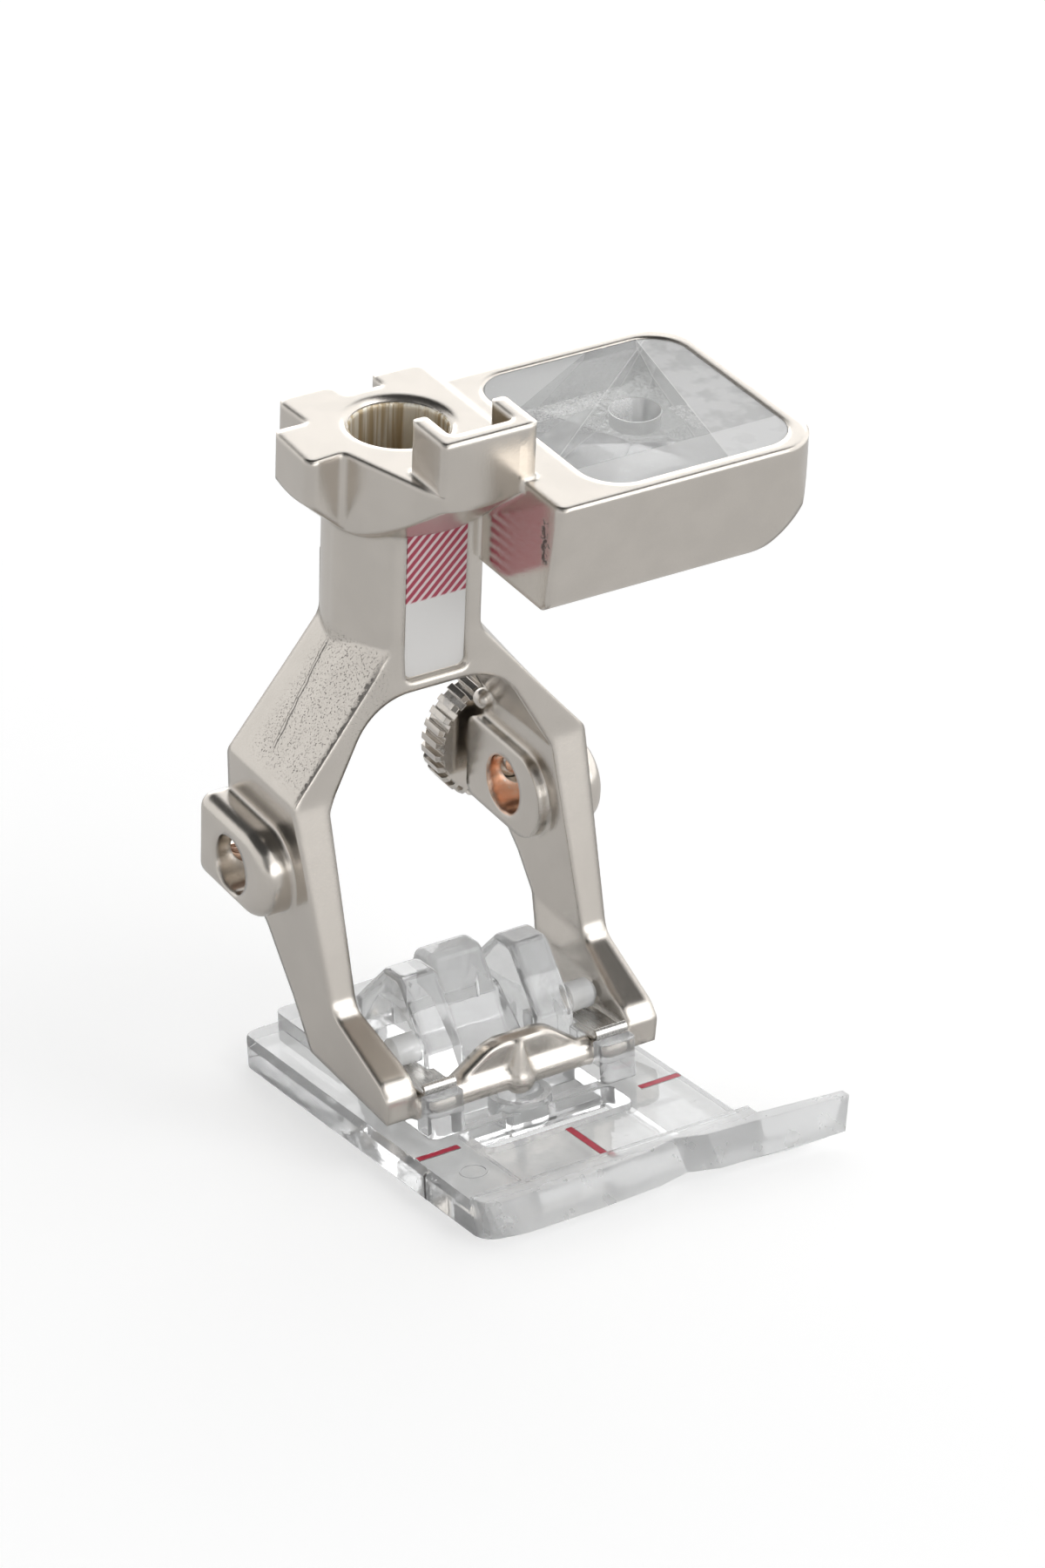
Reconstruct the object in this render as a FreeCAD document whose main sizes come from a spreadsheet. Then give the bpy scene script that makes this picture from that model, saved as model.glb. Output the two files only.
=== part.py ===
import FreeCAD, Part
import math
import os
import Sketcher

# Sewing machine presser foot with a clear tilting sole.
# World frame: X to the right, Y to the rear, Z up, millimetres.
# The origin is on the sole's underside, straight below the hinge line of the cross bar.
# The metal yoke is drawn upright in a frame of its own, whose origin is the cross bar's
# axis. Its pieces are then leaned forward together, as the leaf springs hold them.

doc = FreeCAD.newDocument("presser_foot")
sheet = doc.addObject("Spreadsheet::Sheet", "sizes")

SIZES = [
    ("lean_angle", 8.5, "degrees that the yoke leans forward at rest"),
    ("bar_height", 3.35, "cross bar axis above the sole's underside"),
    ("run_gap", 0.03, "radial clearance of bar, shank and lens"),
    ("side_gap", 0.15, "sideways clearance beside the sole's pedestals"),
    ("skin", 0.1, "how far one cast volume reaches into the next"),
    ("bar_radius", 0.85, "cross bar"),
    ("foot_inner", 7.25, "inner face of a leg at the cross bar"),
    ("foot_outer", 9.2, "outer face of a leg at the cross bar"),
    ("foot_top", 1.85, "top of a leg's toe above the bar axis"),
    ("foot_under", 1.1, "underside of a leg's toe below the bar axis"),
    ("foot_nose", 0.5, "front of a leg's toe before the bar axis"),
    ("ankle_inner", 7.8, "inner face of a leg at the ankle"),
    ("ankle_outer", 9.4, "outer face of a leg at the ankle"),
    ("ankle_height", 3.75, "ankle above the bar axis"),
    ("ankle_front", 5.5, "front of the ankle behind the bar axis"),
    ("knee_inner", 7.6, "inner face of a leg at the knee"),
    ("knee_outer", 9.9, "outer face of a leg at the knee"),
    ("knee_height", 15.7, "knee above the bar axis"),
    ("knee_step", 0.8, "inner knee below the outer knee"),
    ("knee_front", 9.6, "front of the knee behind the bar axis"),
    ("arch_half", 4.3, "half width of the arch's flat crown"),
    ("arch_height", 20.9, "arch's crown above the bar axis"),
    ("arch_round", 4.2, "rounding of the arch's shoulders"),
    ("neck_front_half", 2.8, "half width of the front face where the legs part"),
    ("neck_front_rise", 3.0, "height where the front face parts, above the arch's crown"),
    ("neck_mid_half", 3.85, "half width of the neck at mid depth, inside the column"),
    ("neck_mid_rise", 2.5, "height where the neck parts at mid depth, above that crown"),
    ("neck_rise", 6.6, "top of the leg volumes above the arch's crown"),
    ("facet_front", 9.9, "front edge of the slanted side facet"),
    ("facet_back", 13.3, "rear edge of the slanted side facet"),
    ("leg_back", 17.3, "rear of the upper legs"),
    ("calf_back", 13.0, "rear of a leg under the boss"),
    ("calf_height", 5.8, "height of that point"),
    ("boss_inner", 7.0, "inner face of a guide rod boss"),
    ("boss_outer", 11.7, "outer face of a guide rod boss"),
    ("boss_front", 9.6, "front of a boss"),
    ("boss_back", 17.8, "rear of a boss"),
    ("boss_bottom", 7.6, "underside of a boss"),
    ("boss_top", 13.1, "top of a boss"),
    ("boss_round", 0.9, "rounding of a boss's outer edge"),
    ("rod_radius", 1.85, "guide rod hole"),
    ("rod_y", 13.7, "guide rod hole behind the bar axis"),
    ("rod_height", 10.2, "guide rod hole above the bar axis"),
    ("tap_radius", 1.3, "clamp screw hole"),
    ("tap_x", 9.3, "clamp screw hole from the middle plane"),
    ("bore_y", 15.3, "head socket behind the bar axis"),
    ("column_radius", 4.35, "column"),
    ("cheekbone_half", 4.5, "half width where the column's slanted sides end"),
    ("cheekbone_y", 15.0, "that edge behind the bar axis"),
    ("head_rise", 14.8, "top face of the head above the arch's crown"),
    ("bore_radius", 2.85, "head socket"),
    ("bore_depth", 11.0, "head socket"),
    ("bore_rim", 0.4, "widening at the socket's mouth"),
    ("flare_height", 5.5, "where the column starts to flare, below the head's top face"),
    ("flare_spread", 5.95, "growth of the flare's radius up to the head's top"),
    ("tab_half", 4.9, "half width over the rear tabs"),
    ("tab_back", 21.05, "rear of the tabs"),
    ("key_left", 1.0, "left side of the rear key slot"),
    ("key_right", 1.45, "right side of the rear key slot"),
    ("key_front", 19.6, "floor of the rear key slot"),
    ("ear_reach", 7.1, "left ear from the middle plane"),
    ("ear_back", 17.7, "rear of the left ear"),
    ("ear_front", 13.3, "front of the left ear"),
    ("ear_root", 4.7, "where the left ear leaves the head"),
    ("fence_left", 2.5, "left side of the raised fence"),
    ("fence_right", 3.65, "right side of the raised fence"),
    ("fence_front", 6.3, "front of the raised fence and of the head"),
    ("fence_back", 9.9, "rear of the raised fence"),
    ("fence_wall", 0.95, "wall of the raised fence"),
    ("fence_rise", 3.3, "height of the raised fence above the head"),
    ("pad_front", 10.6, "front face of the column's label pad"),
    ("pad_half", 3.1, "half width of the label pad"),
    ("label_half", 2.0, "half width of the label"),
    ("label_sill", 0.7, "label's lower edge above the arch's crown"),
    ("label_height", 9.6, "label's upper edge above its lower edge"),
    ("label_thick", 0.1, "label sheet"),
    ("label_depth", 0.22, "recess for the label"),
    ("label_margin", 0.12, "bare frame round the label"),
    ("lens_left", 2.8, "left face of the lens housing"),
    ("lens_right", 20.9, "right face of the lens housing"),
    ("lens_front", 2.3, "front face of the lens housing"),
    ("lens_back", 19.0, "rear face of the lens housing"),
    ("lens_height", 7.15, "underside of the lens housing below its top face"),
    ("lens_sink", 0.25, "top face of the lens housing below the head's top face"),
    ("lens_corner", 2.9, "corner rounding of the housing in plan"),
    ("lens_keel", 4.6, "rounding under the housing's right end"),
    ("lens_keel_in", 1.7, "how far the right end draws in below"),
    ("lens_draft", 1.1, "how far front and rear draw in below"),
    ("lens_wall", 0.95, "wall of the housing"),
    ("lens_floor", 1.1, "floor of the housing"),
    ("window_left", 6.2, "left edge of the window"),
    ("window_round", 2.6, "corner rounding of the window"),
    ("window_thick", 1.1, "flat cover part of the prism"),
    ("facet_depth", 4.0, "depth of the prism's facets"),
    ("facet_flat", 0.4, "half size of the facets' blunt tip"),
    ("facet_margin", 0.5, "facets set in from the cover's edge"),
    ("stud_radius", 1.5, "round blind hole in the prism's middle"),
    ("stud_depth", 2.2, "its depth"),
    ("web_half", 4.45, "half width of the arched web over the bar"),
    ("web_rise", 2.45, "crown of the web above the bar axis"),
    ("web_crown", 1.9, "half width of the web's crown"),
    ("web_front", 0.2, "front of the web before the bar axis"),
    ("web_back", 0.8, "rear of the web behind the bar axis"),
    ("pintle_shift", 0.2, "pintle left of the middle plane"),
    ("pintle_front", 0.35, "pintle's axis before the bar axis"),
    ("pintle_radius", 1.0, "pintle's round foot"),
    ("pintle_top", 2.5, "pintle's upper end above the bar axis"),
    ("pintle_tip", 0.14, "radius of the pintle's upper end"),
    ("nub_radius", 0.65, "small cast nub inside the right knee"),
    ("nub_y", 16.6, "its place behind the bar axis"),
    ("nub_height", 14.6, "its place above the bar axis"),
    ("knob_radius", 4.0, "knurled head of the clamp screw"),
    ("knob_thick", 2.1, "knurled head of the clamp screw"),
    ("knob_gap", 0.7, "bare shank between head and boss"),
    ("knob_notch", 0.45, "depth of the knurling"),
    ("knob_teeth", 28, "teeth of the knurling"),
    ("shank_clear", 0.1, "screw's end short of the rod hole"),
    ("shank_tip", 0.35, "cone at the screw's end"),
    ("sole_half", 9.4, "half width of the sole"),
    ("sole_back", 16.9, "rear of the sole behind the bar"),
    ("sole_thick", 1.8, "side fields of the sole"),
    ("sole_corner", 1.4, "rounding of the sole's rear corners"),
    ("sole_bevel", 0.35, "bevel along the sole's upper side edges"),
    ("channel_half", 5.0, "half width of the thin middle field"),
    ("slot_half", 5.0, "half length of the needle slot"),
    ("mark_width", 0.45, "painted grooves"),
    ("mark_depth", 0.14, "painted grooves"),
    ("mark_inner", 6.2, "inner end of the side marks"),
    ("mark_outer", 8.95, "outer end of the side marks"),
    ("centre_mark_back", 5.2, "long mark's rear end before the bar"),
    ("pedestal_inner", 4.65, "inner face of the bar's pedestals"),
    ("pedestal_front", 1.9, "front of the pedestals before the bar"),
    ("cheek_front", 1.7, "front of the cheeks behind the bar"),
    ("cheek_brow", 5.3, "height of the cheeks' front edge"),
    ("cheek_top", 9.1, "top of the cheeks"),
    ("cheek_top_front", 4.4, "front of the cheeks' top"),
    ("cheek_top_back", 6.4, "rear of the cheeks' top"),
    ("pin_radius", 0.9, "pins over the leaf springs"),
    ("pin_y", 3.0, "pins behind the bar"),
    ("pin_reach", 7.05, "outer end of the pins"),
    ("cup_inner", 1.4, "round cup under the pintle"),
    ("cup_top", 2.3, "round cup under the pintle"),
    ("leaf_thick", 0.18, "leaf springs"),
    ("leaf_front", 0.75, "front of the flat of a leaf before the bar"),
    ("leaf_curl", 0.35, "radius of the rolled front edge"),
    ("leaf_play", 0.06, "gap between leaf and pin"),
    ("tiny_round", 0.25, "rounding of sharp cast edges"),
    ("small_round", 0.5, "rounding of small corners"),
    ("cast_round", 0.8, "rounding of cast corners"),
    ("broad_round", 1.5, "rounding of broad corners"),
    ("sweep_round", 3.0, "gentle bends of the legs' outlines"),
    ("rest_gap", 0.03, "clearance of the springs over the cross bar"),
    ("nose_rise", 1.15, "upper corner of a toe's nose above the bar axis"),
    ("toe_crest", 0.3, "highest point of a toe behind the bar axis"),
    ("crotch_rise", 2.1, "inner corner between foot and leg above the bar axis"),
    ("heel_under", 1.05, "underside of a leg's heel below the bar axis"),
    ("heel_back", 7.9, "rear of a heel's underside behind the bar axis"),
    ("achilles_back", 10.2, "rear of the ankle behind the bar axis"),
    ("achilles_height", 2.4, "height of that point"),
    ("boss_lap", 1.2, "how far the boss stands out behind the leg"),
    ("thigh_back", 17.4, "rear of the legs' upper end"),
    ("web_foot", 0.5, "height of the web's ends above the bar axis"),
    ("web_round", 2.2, "rounding of the web's crown"),
    ("ear_slant", 0.2, "slant of the left ear's sides"),
    ("tab_front", 11.5, "front of the head's right shoulder"),
    ("knob_bevel", 0.25, "bevel of the knurled head's rims"),
    ("window_sink", 0.05, "prism's top below the housing's top"),
    ("sole_front", 10.3, "front end of the sole's flat field before the bar"),
    ("channel_depth", 0.7, "channel in the sole's underside"),
    ("channel_front", 9.5, "front end of the channel before the bar"),
    ("channel_back", 1.3, "rear end of the channel before the bar"),
    ("slot_front", 4.7, "front of the needle slot before the bar"),
    ("slot_back", 2.05, "rear of the needle slot before the bar"),
    ("slot_round", 0.6, "corner rounding of the needle slot"),
    ("mark_y", 3.35, "side marks before the bar"),
    ("centre_mark_x", 0.1, "long mark right of the middle plane"),
    ("centre_mark_front", 10.3, "long mark's front end before the bar"),
    ("lip_reach", 12.9, "front of the lip before the bar"),
    ("lip_height", 2.35, "top of the lip"),
    ("lip_belly", 0.75, "height where the lip reaches furthest"),
    ("lip_scoop", 1.35, "how far the lip leans back above its belly"),
    ("lip_sweep", 1.5, "how far the lip draws back below its belly"),
    ("lip_root", 9.7, "rear of the lip before the bar"),
    ("lip_slope", 0.2, "how far the lip's rear face leans forward"),
    ("lip_round", 2.1, "rounding of the lip's left end in plan"),
    ("lip_crest", 2.6, "foremost part of the lip left of the middle plane"),
    ("dip_x", 3.7, "dip in the lip, right of the middle plane"),
    ("dip_depth", 0.7, "dip in the lip"),
    ("dip_slope", 2.2, "from the lip's bend to the dip"),
    ("dip_shoulder", 1.9, "from the dip to the toe's root"),
    ("toe_reach", 14.9, "right end of the long toe"),
    ("toe_front", 13.4, "front of the toe's end before the bar"),
    ("toe_back", 12.1, "rear of the toe's end before the bar"),
    ("toe_root", 11.4, "rear of the toe at the sole's side before the bar"),
    ("toe_rise", 4.2, "how far the toe draws in below its tip"),
    ("toe_belly", 1.05, "how far it draws in at the lip's belly"),
    ("toe_front_share", 0.8, "part of the lip's lean that the toe's front follows"),
    ("toe_back_share", 0.33, "part of the lip's lean that the toe's rear follows"),
    ("dip_start", 0.23, "how far the lip has drawn back where the dip starts"),
    ("pedestal_back", 5.2, "rear of the pedestals behind the bar"),
    ("recess_front", 1.2, "pocket under the bar, before the bar"),
    ("recess_back", 1.4, "pocket under the bar, behind the bar"),
    ("recess_floor", 0.85, "floor of the pocket under the bar"),
    ("cup_outer", 1.9, "round cup under the pintle"),
    ("cheek_outer", 5.1, "outer face of the cheeks"),
    ("cheek_inner", 2.5, "inner face of the cheeks"),
    ("cheek_back", 10.8, "rear of the cheeks"),
    ("cheek_tail", 5.2, "height of the cheeks' rear edge"),
    ("saddle_front", 3.1, "front of the saddle between the cheeks"),
    ("saddle_brow", 3.3, "height of the saddle's front edge"),
    ("saddle_top", 6.1, "top of the saddle"),
    ("saddle_top_front", 6.2, "front of the saddle's top"),
    ("saddle_top_back", 8.9, "rear of the saddle's top"),
    ("saddle_tail", 3.6, "height of the saddle's rear edge"),
    ("crown_half", 1.85, "half width of the crown on the saddle"),
    ("crown_front", 6.6, "front of the crown's top"),
    ("crown_back", 8.4, "rear of the crown's top"),
    ("crown_top", 8.7, "top of the crown"),
    ("rim_round", 0.45, "rounding of the clear blocks' rims"),
    ("deck_front", 9.0, "front of the raised rear deck"),
    ("deck_half", 6.95, "half width of the raised rear deck"),
    ("deck_top", 2.7, "top of the raised rear deck"),
    ("pin_round", 0.35, "rounding of the pins' ends"),
    ("leaf_back", 4.9, "rear end of a leaf behind the bar"),
    ("leaf_inset", 0.15, "leaf spring inside its pedestal's faces"),
]

# Heights above the bar axis that follow from the arch, so that all above it moves with it.
HEIGHTS = [
    ("neck_front_height", "arch_height + neck_front_rise"),
    ("neck_mid_height", "arch_height + neck_mid_rise"),
    ("neck_top", "arch_height + neck_rise"),
    ("head_top", "arch_height + head_rise"),
    ("flare_base", "head_top - flare_height"),
    ("label_bottom", "arch_height + label_sill"),
    ("label_top", "label_bottom + label_height"),
    ("lens_top", "head_top - lens_sink"),
    ("lens_bottom", "lens_top - lens_height"),
]

ROWS = [(alias, repr(value), note) for alias, value, note in SIZES]
ROWS += [(alias, "=" + formula, "height above the bar axis") for alias, formula in HEIGHTS]
for row, (alias, content, note) in enumerate(ROWS, start=1):
    sheet.set("A%d" % row, alias)
    sheet.set("B%d" % row, content)
    sheet.set("C%d" % row, note)
    sheet.setAlias("B%d" % row, alias)
doc.recompute()

NAMES = {alias for alias, _, _ in ROWS}
Vector = FreeCAD.Vector

# Two points of the model nearer than this are one point.
SAME_PLACE = 1e-5


def cell(expression):
    """Put the sheet's name before every size named in an expression."""
    words = []
    word = ""
    for letter in str(expression) + " ":
        if letter.isalnum() or letter in "_.":
            word += letter
            continue
        words.append("sizes." + word if word in NAMES else word)
        words.append(letter)
        word = ""
    return "".join(words).strip()


def value_of(expression):
    """Number that an expression of size names gives now."""
    total = sheet.evalExpression(cell(expression))
    return float(getattr(total, "Value", total))


def minus(expression):
    return "-(%s)" % expression


def bind(item, **fields):
    """Tie properties to expressions; two underscores stand for a dot."""
    for name, expression in fields.items():
        item.setExpression(name.replace("__", "."), cell(expression))
    return item


def origin_plane(body, role):
    return [plane for plane in body.Origin.OriginFeatures if plane.Role == role][0]


def blank_sketch(body, role, name, offset="0"):
    sketch = body.newObject("Sketcher::SketchObject", name)
    sketch.AttachmentSupport = [(origin_plane(body, role), "")]
    sketch.MapMode = "FlatFace"
    bind(sketch, AttachmentOffset__Base__z=offset)
    sketch.Visibility = False
    return sketch


def outline(body, role, corners, offset="0"):
    """Closed sketch with straight sides through corners (u, v, ...), each an expression."""
    sketch = blank_sketch(body, role, body.Name + "_outline", offset)
    points = [Vector(value_of(corner[0]), value_of(corner[1]), 0) for corner in corners]
    count = len(points)
    for i, point in enumerate(points):
        sketch.addGeometry(Part.LineSegment(point, points[(i + 1) % count]))
    for i, point in enumerate(points):
        before = (i - 1) % count
        sketch.addConstraint(Sketcher.Constraint("Coincident", before, 2, i, 1))
        for kind, number, text in (("DistanceX", point.x, corners[i][0]),
                                   ("DistanceY", point.y, corners[i][1])):
            row = sketch.addConstraint(Sketcher.Constraint(kind, i, 1, number))
            sketch.setExpression("Constraints[%d]" % row, cell(text))
    return sketch


def flat_place(role, point):
    """A point's two coordinates in the plane of that role."""
    return {
        "XY_Plane": (point.x, point.y), "XZ_Plane": (point.x, point.z),
        "YZ_Plane": (point.y, point.z),
    }[role]


def round_corners(body, role, levels):
    """Fillet the edges that run from an outline's corner to the same corner further on."""
    corners = levels[0]
    spots = [[(value_of(u), value_of(v)) for u, v, _ in level] for level in levels]
    for radius in sorted({r for _, _, r in corners if value_of(r)}, key=value_of, reverse=True):
        wanted = [i for i, corner in enumerate(corners) if corner[2] == radius]
        doc.recompute()
        base = body.Tip
        found = []
        for number, edge in enumerate(base.Shape.Edges, start=1):
            ends = [flat_place(role, vertex.Point) for vertex in edge.Vertexes]
            for i in wanted:
                goals = [spots[0][i], spots[-1][i]]
                if len(ends) == 2 and any(
                        max(math.dist(ends[0], one), math.dist(ends[1], other)) < SAME_PLACE
                        for one, other in (goals, goals[::-1])):
                    along = edge.Vertexes[0].Point - edge.Vertexes[1].Point
                    flat = math.dist(ends[0], ends[1])
                    if along.Length > flat + SAME_PLACE:
                        found.append("Edge%d" % number)
        bend = body.newObject("PartDesign::Fillet", body.Name + "_round")
        bend.Base = (base, sorted(set(found)))
        bind(bend, Radius=radius)
        body.Tip = bend
    return body


def slab(name, role, corners, start, end):
    """Body made of one outline, padded from start to end along the third world axis."""
    body = doc.addObject("PartDesign::Body", name)
    offset = minus(end) if role == "XZ_Plane" else start
    pad = body.newObject("PartDesign::Pad", name + "_pad")
    pad.Profile = outline(body, role, corners, offset)
    bind(pad, Length="(%s) - (%s)" % (end, start))
    body.Tip = pad
    return round_corners(body, role, [corners])


def stack(name, role, levels):
    """Body that joins outlines of equal corner count, listed with their offsets."""
    body = doc.addObject("PartDesign::Body", name)
    sketches = [outline(body, role, corners, offset) for offset, corners in levels]
    loft = body.newObject("PartDesign::AdditiveLoft", name + "_loft")
    loft.Profile = sketches[0]
    loft.Sections = sketches[1:]
    loft.Ruled = True
    body.Tip = loft
    return round_corners(body, role, [corners for _, corners in levels])


def mirrored(half):
    """Right half of an outline, listed from the middle outwards and back, made whole."""
    return half + [(minus(u), v, r) for u, v, r in reversed(half)]


TURNS = {"X": (Vector(0, 1, 0), 90), "Y": (Vector(1, 0, 0), -90), "Z": (Vector(0, 0, 1), 0)}


def place(item, position, direction="Z"):
    axis, angle = TURNS[direction]
    item.Placement = FreeCAD.Placement(Vector(), FreeCAD.Rotation(axis, angle))
    bind(item, Placement__Base__x=position[0], Placement__Base__y=position[1],
         Placement__Base__z=position[2])
    return item


def rod(name, radius, length, position, direction):
    item = doc.addObject("Part::Cylinder", name)
    bind(item, Radius=radius, Height=length)
    return place(item, position, direction)


def ball(name, radius, position):
    item = doc.addObject("Part::Sphere", name)
    bind(item, Radius=radius)
    return place(item, position)


def funnel(name, bottom, top, height, position, direction="Z"):
    item = doc.addObject("Part::Cone", name)
    bind(item, Radius1=bottom, Radius2=top, Height=height)
    return place(item, position, direction)


def block(name, low, high):
    """Box between two corners, each three expressions."""
    item = doc.addObject("Part::Box", name)
    spans = ["(%s) - (%s)" % (upper, lower) for lower, upper in zip(low, high)]
    bind(item, Length=spans[0], Width=spans[1], Height=spans[2])
    return place(item, low)


def combined(kind, name, items):
    item = doc.addObject(kind, name)
    item.Shapes = items
    item.Refine = True
    return item


def joined(name, items):
    return combined("Part::MultiFuse", name, items)


def shared(name, items):
    return combined("Part::MultiCommon", name, items)


def carved(name, base, tool):
    item = doc.addObject("Part::Cut", name)
    item.Base = base
    item.Tool = tool
    item.Refine = True
    return item


nodes = []


def node(item, label):
    item.Label = label
    nodes.append(item)
    return item


def lean(item):
    """Set a piece drawn in the yoke's upright frame on the cross bar, leaning forward."""
    item.Placement = FreeCAD.Placement(Vector(), FreeCAD.Rotation(Vector(1, 0, 0), 1))
    bind(item, Placement__Base__z="bar_height", Placement__Rotation__Angle="lean_angle * 1 deg")
    return item


# Legs: front outline and side outline, each drawn once, cut to their common volume.
# The upper legs are narrower at the front than at mid depth, which gives the long
# slanted facet on each side.

def leg_front(neck_half, neck_height):
    return mirrored([
        (neck_half, "neck_top", "0"),
        (neck_half, neck_height, "broad_round"),
        ("knee_outer", "knee_height", "cast_round"),
        ("ankle_outer", "ankle_height", "0"),
        ("foot_outer", "-foot_nose", "0"),
        ("foot_inner", "-foot_nose", "0"),
        ("foot_inner", "crotch_rise", "cast_round"),
        ("ankle_inner", "ankle_height", "cast_round"),
        ("knee_inner", "knee_height - knee_step", "cast_round"),
        ("arch_half", "arch_height", "arch_round"),
    ])


narrow = leg_front("neck_front_half", "neck_front_height")
wide = leg_front("neck_mid_half", "neck_mid_height")
leg_face = slab("leg_face", "XZ_Plane", narrow, "-foot_nose - skin", "facet_front")
leg_rear = slab("leg_rear", "XZ_Plane", wide, "facet_back", "thigh_back + skin")
leg_facet = stack("leg_facet", "XZ_Plane", [
    (minus("facet_front"), narrow),
    (minus("facet_back"), wide),
])
leg_side = slab("leg_side", "YZ_Plane", [
    ("pad_front + skin", "neck_top", "0"),
    ("pad_front", "neck_front_height", "sweep_round"),
    ("knee_front", "knee_height", "sweep_round"),
    ("ankle_front", "ankle_height", "broad_round"),
    ("toe_crest", "foot_top", "broad_round"),
    ("-foot_nose", "nose_rise", "small_round"),
    ("-foot_nose", "-foot_under", "cast_round"),
    ("heel_back", "-heel_under", "broad_round"),
    ("achilles_back", "achilles_height", "cast_round"),
    ("calf_back", "calf_height", "broad_round"),
    ("boss_back - boss_lap", "boss_bottom + boss_lap", "cast_round"),
    ("leg_back", "boss_top", "0"),
    ("leg_back", "arch_height", "broad_round"),
    ("thigh_back", "neck_top", "0"),
], "-boss_outer", "boss_outer")
leg_volume = joined("leg_volume", [leg_face, leg_facet, leg_rear])
legs = shared("legs", [leg_volume, leg_side])


# Guide rod bosses, one through each leg, with the rod hole and the screw holes.

def round_rims(body, planes, size, above):
    """Round a body's edges that lie in the given planes across X, over some height."""
    doc.recompute()
    pad = body.Tip
    places = [value_of(plane) for plane in planes]
    floor = value_of(above)
    rim = []
    for number, edge in enumerate(pad.Shape.Edges, start=1):
        box = edge.BoundBox
        flat = any(max(abs(box.XMin - x), abs(box.XMax - x)) < SAME_PLACE for x in places)
        if flat and box.ZMax > floor:
            rim.append("Edge%d" % number)
    round_off = body.newObject("PartDesign::Fillet", body.Name + "_rim")
    round_off.Base = (pad, rim)
    bind(round_off, Radius=size)
    body.Tip = round_off
    return body


def boss(name, start, end, outer):
    front_round = "(boss_top - boss_bottom) / 2 - skin"
    body = slab(name, "YZ_Plane", [
        ("boss_back", "boss_bottom", "cast_round"),
        ("boss_back", "boss_top", "cast_round"),
        ("boss_front", "boss_top", front_round),
        ("boss_front", "boss_bottom", front_round),
    ], start, end)
    return round_rims(body, [outer], "boss_round", "boss_bottom - skin")


boss_right = boss("boss_right", "boss_inner", "boss_outer", "boss_outer")
boss_left = boss("boss_left", "-boss_outer", "-boss_inner", "-boss_outer")
rod_hole = rod("rod_hole", "rod_radius", "2 * boss_outer + 2 * skin",
               ("-boss_outer - skin", "rod_y", "rod_height"), "X")
tap_right = rod("tap_right", "tap_radius", "boss_back - rod_y + skin",
                ("tap_x", "rod_y", "rod_height"), "Y")
tap_left = rod("tap_left", "tap_radius", "boss_back - rod_y + skin",
               ("-tap_x", "rod_y", "rod_height"), "Y")

# Cross bar, the arched web above it, the upright pintle at its middle and a cast nub.

bar = rod("bar", "bar_radius", "2 * foot_inner", ("-foot_inner", "0", "0"), "X")
web = slab("web", "XZ_Plane", mirrored([
    ("web_crown", "web_rise", "web_round"),
    ("web_half", "web_foot", "0"),
    ("web_half", "-skin", "0"),
]), "-web_front", "web_back")
pintle_spot = ("-pintle_shift", "-pintle_front", "-skin")
pintle = funnel("pintle", "pintle_radius", "pintle_tip", "pintle_top + skin", pintle_spot)
pintle_foot = ball("pintle_foot", "pintle_radius", pintle_spot)
nub = ball("nub", "nub_radius", ("knee_inner - nub_radius / 2", "nub_y", "nub_height"))

# Column with the label pad, the flared head and its raised fence.

column = rod("column", "column_radius", "head_top - arch_height",
             ("0", "bore_y", "arch_height"), "Z")
label_pad = slab("label_pad", "XY_Plane", [
    ("-pad_half", "bore_y + pad_half", "0"),
    ("pad_half", "bore_y + pad_half", "0"),
    ("cheekbone_half", "cheekbone_y", "broad_round"),
    ("pad_half", "pad_front", "small_round"),
    ("-pad_half", "pad_front", "small_round"),
    ("-cheekbone_half", "cheekbone_y", "broad_round"),
], "arch_height + skin", "head_top - skin")
flare = funnel("flare", "column_radius", "column_radius + flare_spread",
               "head_top - flare_base", ("0", "bore_y", "flare_base"))
head_plan = slab("head_plan", "XY_Plane", [
    ("-tab_half", "tab_back", "cast_round"),
    ("ear_slant - tab_half", "ear_back", "tiny_round"),
    ("ear_slant - ear_reach", "ear_back", "small_round"),
    ("-ear_reach", "ear_front", "small_round"),
    ("-ear_root", "ear_front + ear_slant", "tiny_round"),
    ("-fence_left", "fence_front", "tiny_round"),
    ("fence_right", "fence_front", "0"),
    ("fence_right", "tab_front", "0"),
    ("tab_half", "tab_front", "0"),
    ("tab_half", "tab_back", "cast_round"),
    ("key_right", "tab_back", "small_round"),
    ("key_right", "key_front", "tiny_round"),
    ("-key_left", "key_front", "tiny_round"),
    ("-key_left", "tab_back", "cast_round"),
], "flare_base", "head_top")
head = shared("head", [head_plan, flare])
fence = slab("fence", "XY_Plane", [
    ("-fence_left", "fence_front", "tiny_round"),
    ("fence_right", "fence_front", "tiny_round"),
    ("fence_right", "fence_back", "tiny_round"),
    ("fence_right - fence_wall", "fence_back", "tiny_round"),
    ("fence_right - fence_wall", "fence_front + fence_wall", "small_round"),
    ("-fence_left + fence_wall", "fence_front + fence_wall", "small_round"),
    ("-fence_left + fence_wall", "fence_back", "tiny_round"),
    ("-fence_left", "fence_back", "tiny_round"),
], "head_top - fence_wall", "head_top + fence_rise")
bore = rod("bore", "bore_radius", "bore_depth + skin",
           ("0", "bore_y", "head_top - bore_depth"), "Z")
bore_mouth = funnel("bore_mouth", "bore_radius", "bore_radius + bore_rim + skin",
                    "bore_rim + skin", ("0", "bore_y", "head_top - bore_rim"))
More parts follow.
